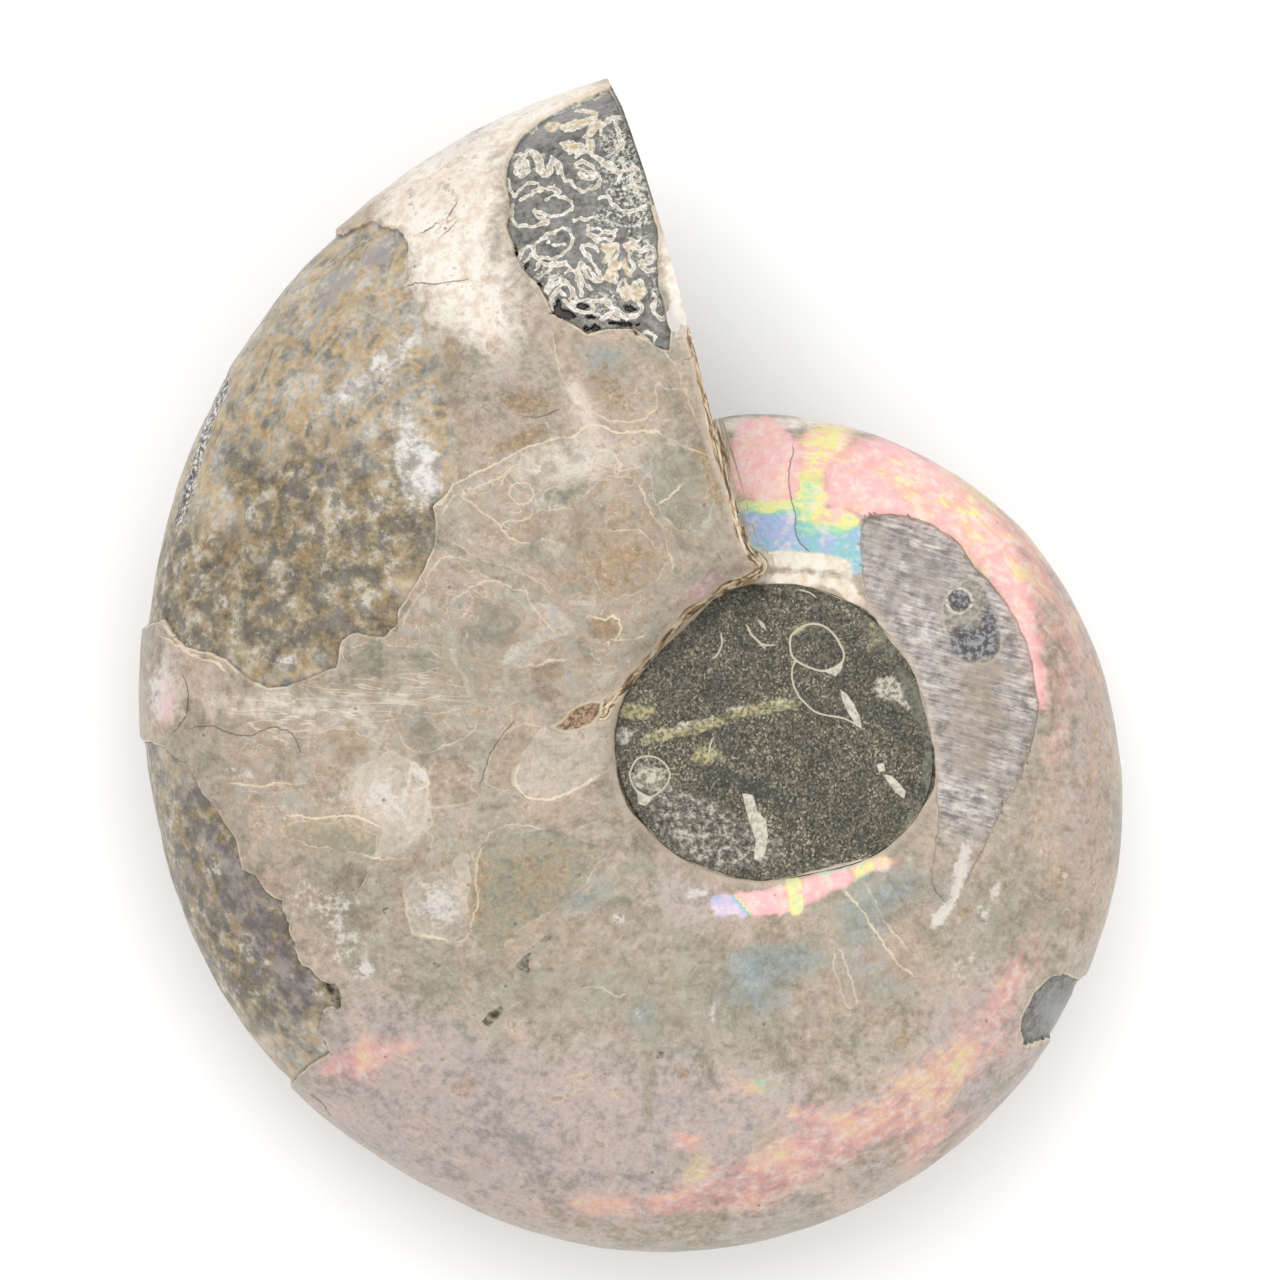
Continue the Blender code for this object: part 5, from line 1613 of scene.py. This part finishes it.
def ground_flat(f, colour):
    """The flat ground across the earlier turns, scratched one way, with an old hole in it."""
    scratched = f.scaled(f.turned(f.place, 16), 0.12, 1.0, 1.0)
    rays = f.noise(scratched, 0.3, 3.0, 0.72)
    tone = f.sum("MULTIPLY_ADD", f.fine, 0.5, f.sum("MULTIPLY", rays, 0.5))
    flat = f.ramp(tone, (0.40, (116, 109, 106)), (0.46, (152, 144, 140)), (0.51, (182, 173, 169)),
                  (0.56, (206, 198, 194)), (0.62, (238, 232, 228)))
    flat = f.over(flat, linear(146, 138, 134), f.fade(f.broad, 0.5, 0.62, 0.0, 0.5))
    flat = f.over(flat, linear(160, 142, 124), f.fade(f.shaken("brown", 1.2, 2.2), 0.1, 0.9,
                                                     0.0, 0.5))
    eye = f.sum("ADD", f.field("eye"), f.around(f.fine, 7.0))
    flat = f.over(flat, f.ramp(f.glint, (0.4, (112, 106, 98)), (0.5, (148, 140, 122)),
                               (0.6, (176, 170, 154))), f.fade(eye, -3.0, 0.5, 0.8, 0.0))
    flat = f.over(flat, linear(206, 194, 170), f.fade(f.sum("ABSOLUTE", eye), 0.0, 2.2, 0.5, 0.0))
    ground = f.sum("ADD", f.field("ground"), f.around(f.fine, 5.0))
    tail = f.field("tail")
    worn = f.fade(f.shaken("tail", 1.5, 1.0), 0.0, 1.0, 0.85, 0.1)
    colour = f.over(colour, flat, f.fade(ground, -2.4, 1.2, 1.0, 0.0), worn)
    rim = f.fade(f.sum("ABSOLUTE", ground), 0.4, 2.4, 0.3, 0.0)
    colour = f.over(colour, linear(214, 200, 180), rim, f.fade(tail, 0.1, 0.5, 1.0, 0.0))
    stain = f.fade(f.shaken("stain", 0.0, 1.4), 0.3, 0.9, 0.0, 0.92)
    colour = f.over(colour, f.ramp(f.glint, (0.40, (58, 56, 62)), (0.5, (92, 88, 92)),
                                   (0.6, (150, 150, 152))), stain)
    return f.over(colour, linear(224, 216, 200),
                  f.fade(f.sum("ADD", f.field("hole"), f.shake), 0.6, 2.4, 0.8, 0.0))


def last_edge(f, colour):
    """The layered edge of the last turn, in strands of cream, ochre and near black."""
    away = f.sum("ADD", f.field("edge"), f.sum("MULTIPLY", f.shake, 1.2))
    along = f.sum("MULTIPLY", f.field("edge_run"), 0.22)
    strands = f.noise(f.joined(f.sum("MULTIPLY", away, PIXEL), along), 0.34, 2.0, 0.7, 0.6)
    edge = f.ramp(strands, (0.36, (58, 44, 34)), (0.44, (126, 98, 66)), (0.5, (182, 150, 106)),
                  (0.56, (220, 200, 168)), (0.64, (242, 230, 206)))
    width = f.fade(f.noise(f.joined(f.field("edge_run"), 0.0), 4.0, 1.0), 0.35, 0.65, 3.5, 7.5)
    near = f.sum("ABSOLUTE", f.sum("ADD", away, 1.5))
    near = f.sum("DIVIDE", near, width)
    colour = f.over(colour, linear(218, 198, 176), f.fade(near, 1.0, 2.4, 0.5, 0.0))
    colour = f.over(colour, edge, f.fade(near, 0.7, 1.2, 0.9, 0.0))
    notch = f.sum("ADD", f.field("notch"), f.shake)
    earth = f.ramp(f.glint, (0.38, (70, 48, 34)), (0.48, (128, 92, 62)), (0.6, (176, 148, 118)))
    colour = f.over(colour, linear(214, 202, 168), f.fade(f.sum("ABSOLUTE", notch), 0.6, 3.0,
                                                          0.6, 0.0))
    return f.over(colour, earth, f.fade(notch, -1.6, 0.2, 0.9, 0.0))


def shell_finish(mesh):
    """The material of the skin: shell, nacre, bared stone, the ground flat and the mouth."""
    f = Finish("ammonite_shell", mesh)
    run, reach = f.field("run"), f.field("reach")
    along = f.joined(f.sum("MULTIPLY", run, 0.3), reach)
    shell = flank_colour(f, run, reach)
    shell = nacre(f, shell, along)
    shell = flake_lines(f, shell)

    # The windows: the shell's edge is cream, the stone beside it dark
    stone = f.mix(f.field("dark"), marbled_stone(f, run, reach), sutured_stone(f))
    soft = f.field("soft")
    sharp = f.sum("SUBTRACT", 1.0, soft)
    bare = f.sum("ADD", f.field("bare"), f.around(f.fine, 1.2))
    stone = f.over(stone, linear(70, 66, 60), f.fade(bare, -4.0, -0.5, 0.0, 0.4), sharp)
    shell = f.over(shell, linear(236, 217, 186), f.fade(bare, 0.2, 2.8, 0.85, 0.0), sharp,
                   f.fade(f.broad, 0.4, 0.55, 0.25, 1.0))
    gap = f.sum("DIVIDE", f.sum("MULTIPLY_ADD", f.around(f.fine, 30.0), soft, bare),
                f.sum("MULTIPLY_ADD", soft, 22.0, 1.0))
    colour = f.mix(f.fade(gap, -0.6, 0.2, 1.0, 0.0), shell, stone)
    colour = ground_flat(f, colour)

    # Hollows, the chipped outer edge, the umbilicus' side and lip, and the mouth's face
    chipped = f.sum("ADD", f.field("chips"), f.shake)
    colour = f.over(colour, f.ramp(f.glint, (0.42, (80, 74, 60)), (0.56, (142, 134, 108))),
                    f.fade(chipped, -0.6, 0.6, 0.9, 0.0))
    kind, away = f.grains(f.place, 3.2)
    colour = f.over(colour, linear(104, 94, 80), f.fade(away, 0.03, 0.07, 0.7, 0.0),
                    f.fade(kind, 0.4, 0.45))
    hollow = f.shaken("hollow", 0.0, 1.0)
    colour = f.over(colour, linear(26, 21, 17), f.fade(hollow, 0.3, 0.7, 0.0, 0.94))
    chips = f.ramp(f.glint, (0.42, (40, 38, 38)), (0.5, (144, 138, 130)),
                   (0.6, (234, 230, 224)))
    colour = f.over(colour, chips, f.fade(f.field("groove"), 0.35, 0.9, 0.0, 0.85))
    plug = f.field("plug")
    colour = f.over(colour, linear(210, 192, 172), f.fade(plug, 0.0, 12.0, 0.55, 0.0))
    colour = f.over(colour, f.ramp(f.fine, (0.38, (238, 218, 190)), (0.58, (254, 246, 230))),
                    f.fade(f.shaken("lip", 0.5, 0.8), 0.3, 0.8))
    colour = last_edge(f, colour)
    colour = f.mix(f.fade(plug, -1.0, 1.0, 1.0, 0.0), colour,
                   f.ramp(f.glint, (0.4, (50, 45, 33)), (0.6, (104, 98, 78))))
    depth = f.field("rim")
    face = f.ramp(f.fine, (0.36, (52, 52, 46)), (0.5, (84, 82, 72)),
                  (0.64, (130, 126, 112)))
    lip = f.ramp(f.fine, (0.4, (150, 122, 86)), (0.6, (216, 196, 162)))
    face = f.over(face, lip, f.fade(depth, 0.5, 0.8, 1.0, 0.0),
                  f.fade(f.field("mouth_stone"), -1.0, 1.0))
    colour = f.over(colour, face, f.fade(depth, -0.6, -0.1))
    f.put(f.shader.inputs["Base Color"], colour)
    f.put(f.shader.inputs["Roughness"], f.fade(f.fine, 0.3, 0.7, 0.34, 0.5))
    f.bump(f.noise(f.place, 0.7, 2.0, 0.7), 0.1)
    return f.material


def speckled_stone(f):
    """Dark sandstone: small grains, a few of them pale, with black dots between them."""
    shade = f.grains(f.place, 0.16)[0]
    tone = f.sum("ADD", f.around(f.broad, 0.7), f.fade(shade, 0.0, 1.0))
    stone = f.ramp(tone, (0.0, (38, 33, 23)), (0.27, (67, 62, 46)), (0.6, (92, 87, 68)),
                   (0.85, (124, 118, 96)), (1.0, (172, 166, 144)))
    kind, away = f.grains(f.place, 0.42)
    return f.over(stone, linear(28, 25, 20), f.fade(away, 0.25, 0.42, 0.85, 0.0),
                  f.fade(kind, 0.52, 0.58))


def plug_finish(mesh):
    """The sandstone in the umbilicus, with its shell sections, olive streak and pale corner."""
    f = Finish("umbilicus_stone", mesh)
    fine, broad = f.fine, f.broad
    stone = speckled_stone(f)
    rock = f.ramp(f.noise(f.place, 0.6, 4.0, 0.75), (0.38, (46, 42, 36)), (0.46, (92, 87, 74)),
                  (0.53, (136, 130, 116)), (0.62, (208, 202, 190)))
    stone = f.over(stone, rock, f.fade(f.shaken("speckled", 1.0, 1.2), 0.3, 0.8, 0.0, 0.85))
    # The dark spots are dark stone, and at the upper left painted shadow under the last turn's edge
    for name, dim, colour, strength in (
            ("dark", (26, 24, 20), (44, 42, 34), 0.6),
            ("smooth", (88, 88, 76), (122, 122, 106), 0.8),
            ("olive", (138, 128, 86), (206, 196, 148), 0.75),
            ("pale", (164, 154, 136), (222, 216, 200), 0.8)):
        stone = f.over(stone, f.ramp(f.glint, (0.4, dim), (0.58, colour)),
                       f.fade(f.shaken(name, 1.2, 2.0), 0.3, 0.85, 0.0, strength),
                       f.fade(f.glint, 0.4, 0.55, 0.6, 1.0))
    pods = f.sum("MULTIPLY_ADD", f.shake, 0.8, f.field("pods"))
    stone = f.over(stone, f.ramp(f.glint, (0.4, (188, 180, 160)), (0.56, (226, 220, 204))),
                   f.fade(pods, -0.8, 0.6, 0.9, 0.0))
    away = f.sum("ADD", f.sum("ABSOLUTE", f.field("section")), f.around(fine, 0.8))
    stone = f.over(stone, linear(208, 200, 176), f.fade(away, 0.55, 1.15, 0.9, 0.0),
                   f.field("near_section"))
    lip = f.ramp(broad, (0.4, (182, 164, 138)), (0.6, (212, 198, 176)))
    stone = f.mix(f.fade(f.field("plug"), -0.8, 0.8), stone, lip)
    f.put(f.shader.inputs["Base Color"], stone)
    f.put(f.shader.inputs["Roughness"], f.fade(fine, 0.3, 0.7, 0.42, 0.6))
    f.bump(f.noise(f.place, 0.3, 2.0, 0.7), 0.04)
    return f.material


# The studio, in metres and watts
PAPER_REACH = 3
PAPER_DROP = 0.0002
PAPER_COLOUR = (0.95, 0.95, 0.95, 1.0)
PAPER_ROUGHNESS = 0.9
WORLD_STRENGTH = 0.9
LAMP_SIZE = 0.7
LAMP_AIM = (0.0, 0.0, 0.01)
KEY_PLACE, KEY_POWER = (-0.08, 0.36, 0.72), 2.8
FILL_PLACE, FILL_POWER = (0.30, -0.40, 0.60), 1.2
NEAR_CLIP, FAR_CLIP = 0.01, 10.0


def paper_floor():
    """The plain pale paper, a hair below the fossil."""
    low, high = -PAPER_REACH, PAPER_REACH
    corners = [(low, low, 0), (high, low, 0), (high, high, 0), (low, high, 0)]
    sheet = mesh_from("floor", corners, [(0, 1, 2, 3)])
    paper = bpy.data.materials.new("paper")
    paper.use_nodes = True
    shader = paper.node_tree.nodes["Principled BSDF"]
    shader.inputs["Base Color"].default_value = PAPER_COLOUR
    shader.inputs["Roughness"].default_value = PAPER_ROUGHNESS
    sheet.materials.append(paper)
    floor = bpy.data.objects.new("floor", sheet)
    floor.location.z = -PAPER_DROP
    bpy.context.scene.collection.objects.link(floor)
    return floor


def white_world():
    world = bpy.data.worlds.new("studio")
    world.use_nodes = True
    light = world.node_tree.nodes["Background"]
    light.inputs["Color"].default_value = (1.0, 1.0, 1.0, 1.0)
    light.inputs["Strength"].default_value = WORLD_STRENGTH
    bpy.context.scene.world = world


def soft_light(name, place, power):
    lamp = bpy.data.lights.new(name, "AREA")
    lamp.shape = "SQUARE"
    lamp.size = LAMP_SIZE
    lamp.energy = power
    stand = bpy.data.objects.new(name, lamp)
    bpy.context.scene.collection.objects.link(stand)
    stand.location = place
    stand.rotation_euler = (Vector(LAMP_AIM) - Vector(place)).to_track_quat("-Z", "Y").to_euler()


def look_down(laid):
    """The camera, straight above the shown flank as the photograph's was."""
    lens = bpy.data.cameras.new("camera")
    lens.sensor_width = SENSOR
    lens.lens = SENSOR * CAMERA_DISTANCE / (FRAME_PIXELS * PIXEL)
    lens.clip_start = NEAR_CLIP
    lens.clip_end = FAR_CLIP
    camera = bpy.data.objects.new("camera", lens)
    bpy.context.scene.collection.objects.link(camera)
    camera.matrix_world = laid @ Matrix.Translation(
        Vector((CAMERA_X, CAMERA_Y, CAMERA_DISTANCE)) * MM)
    bpy.context.scene.camera = camera


laid = shell_frame()
skin = coil_skin(laid)
skin.data.materials.append(shell_finish(skin.data))
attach(skin, "root")
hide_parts("ammonite")
stone_look = None
for name, node, down in (("front_stone", "front_matrix_plug", False),
                         ("back_stone", "back_matrix_plug", True)):
    stone = plug_piece(name, laid, down)
    stone_look = stone_look or plug_finish(stone.data)
    stone.data.materials.append(stone_look)
    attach(stone, "root")
    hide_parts(node)

floor = paper_floor()
white_world()
soft_light("key", KEY_PLACE, KEY_POWER)
soft_light("fill", FILL_PLACE, FILL_POWER)
look_down(laid)
bpy.context.scene.view_settings.view_transform = "Standard"
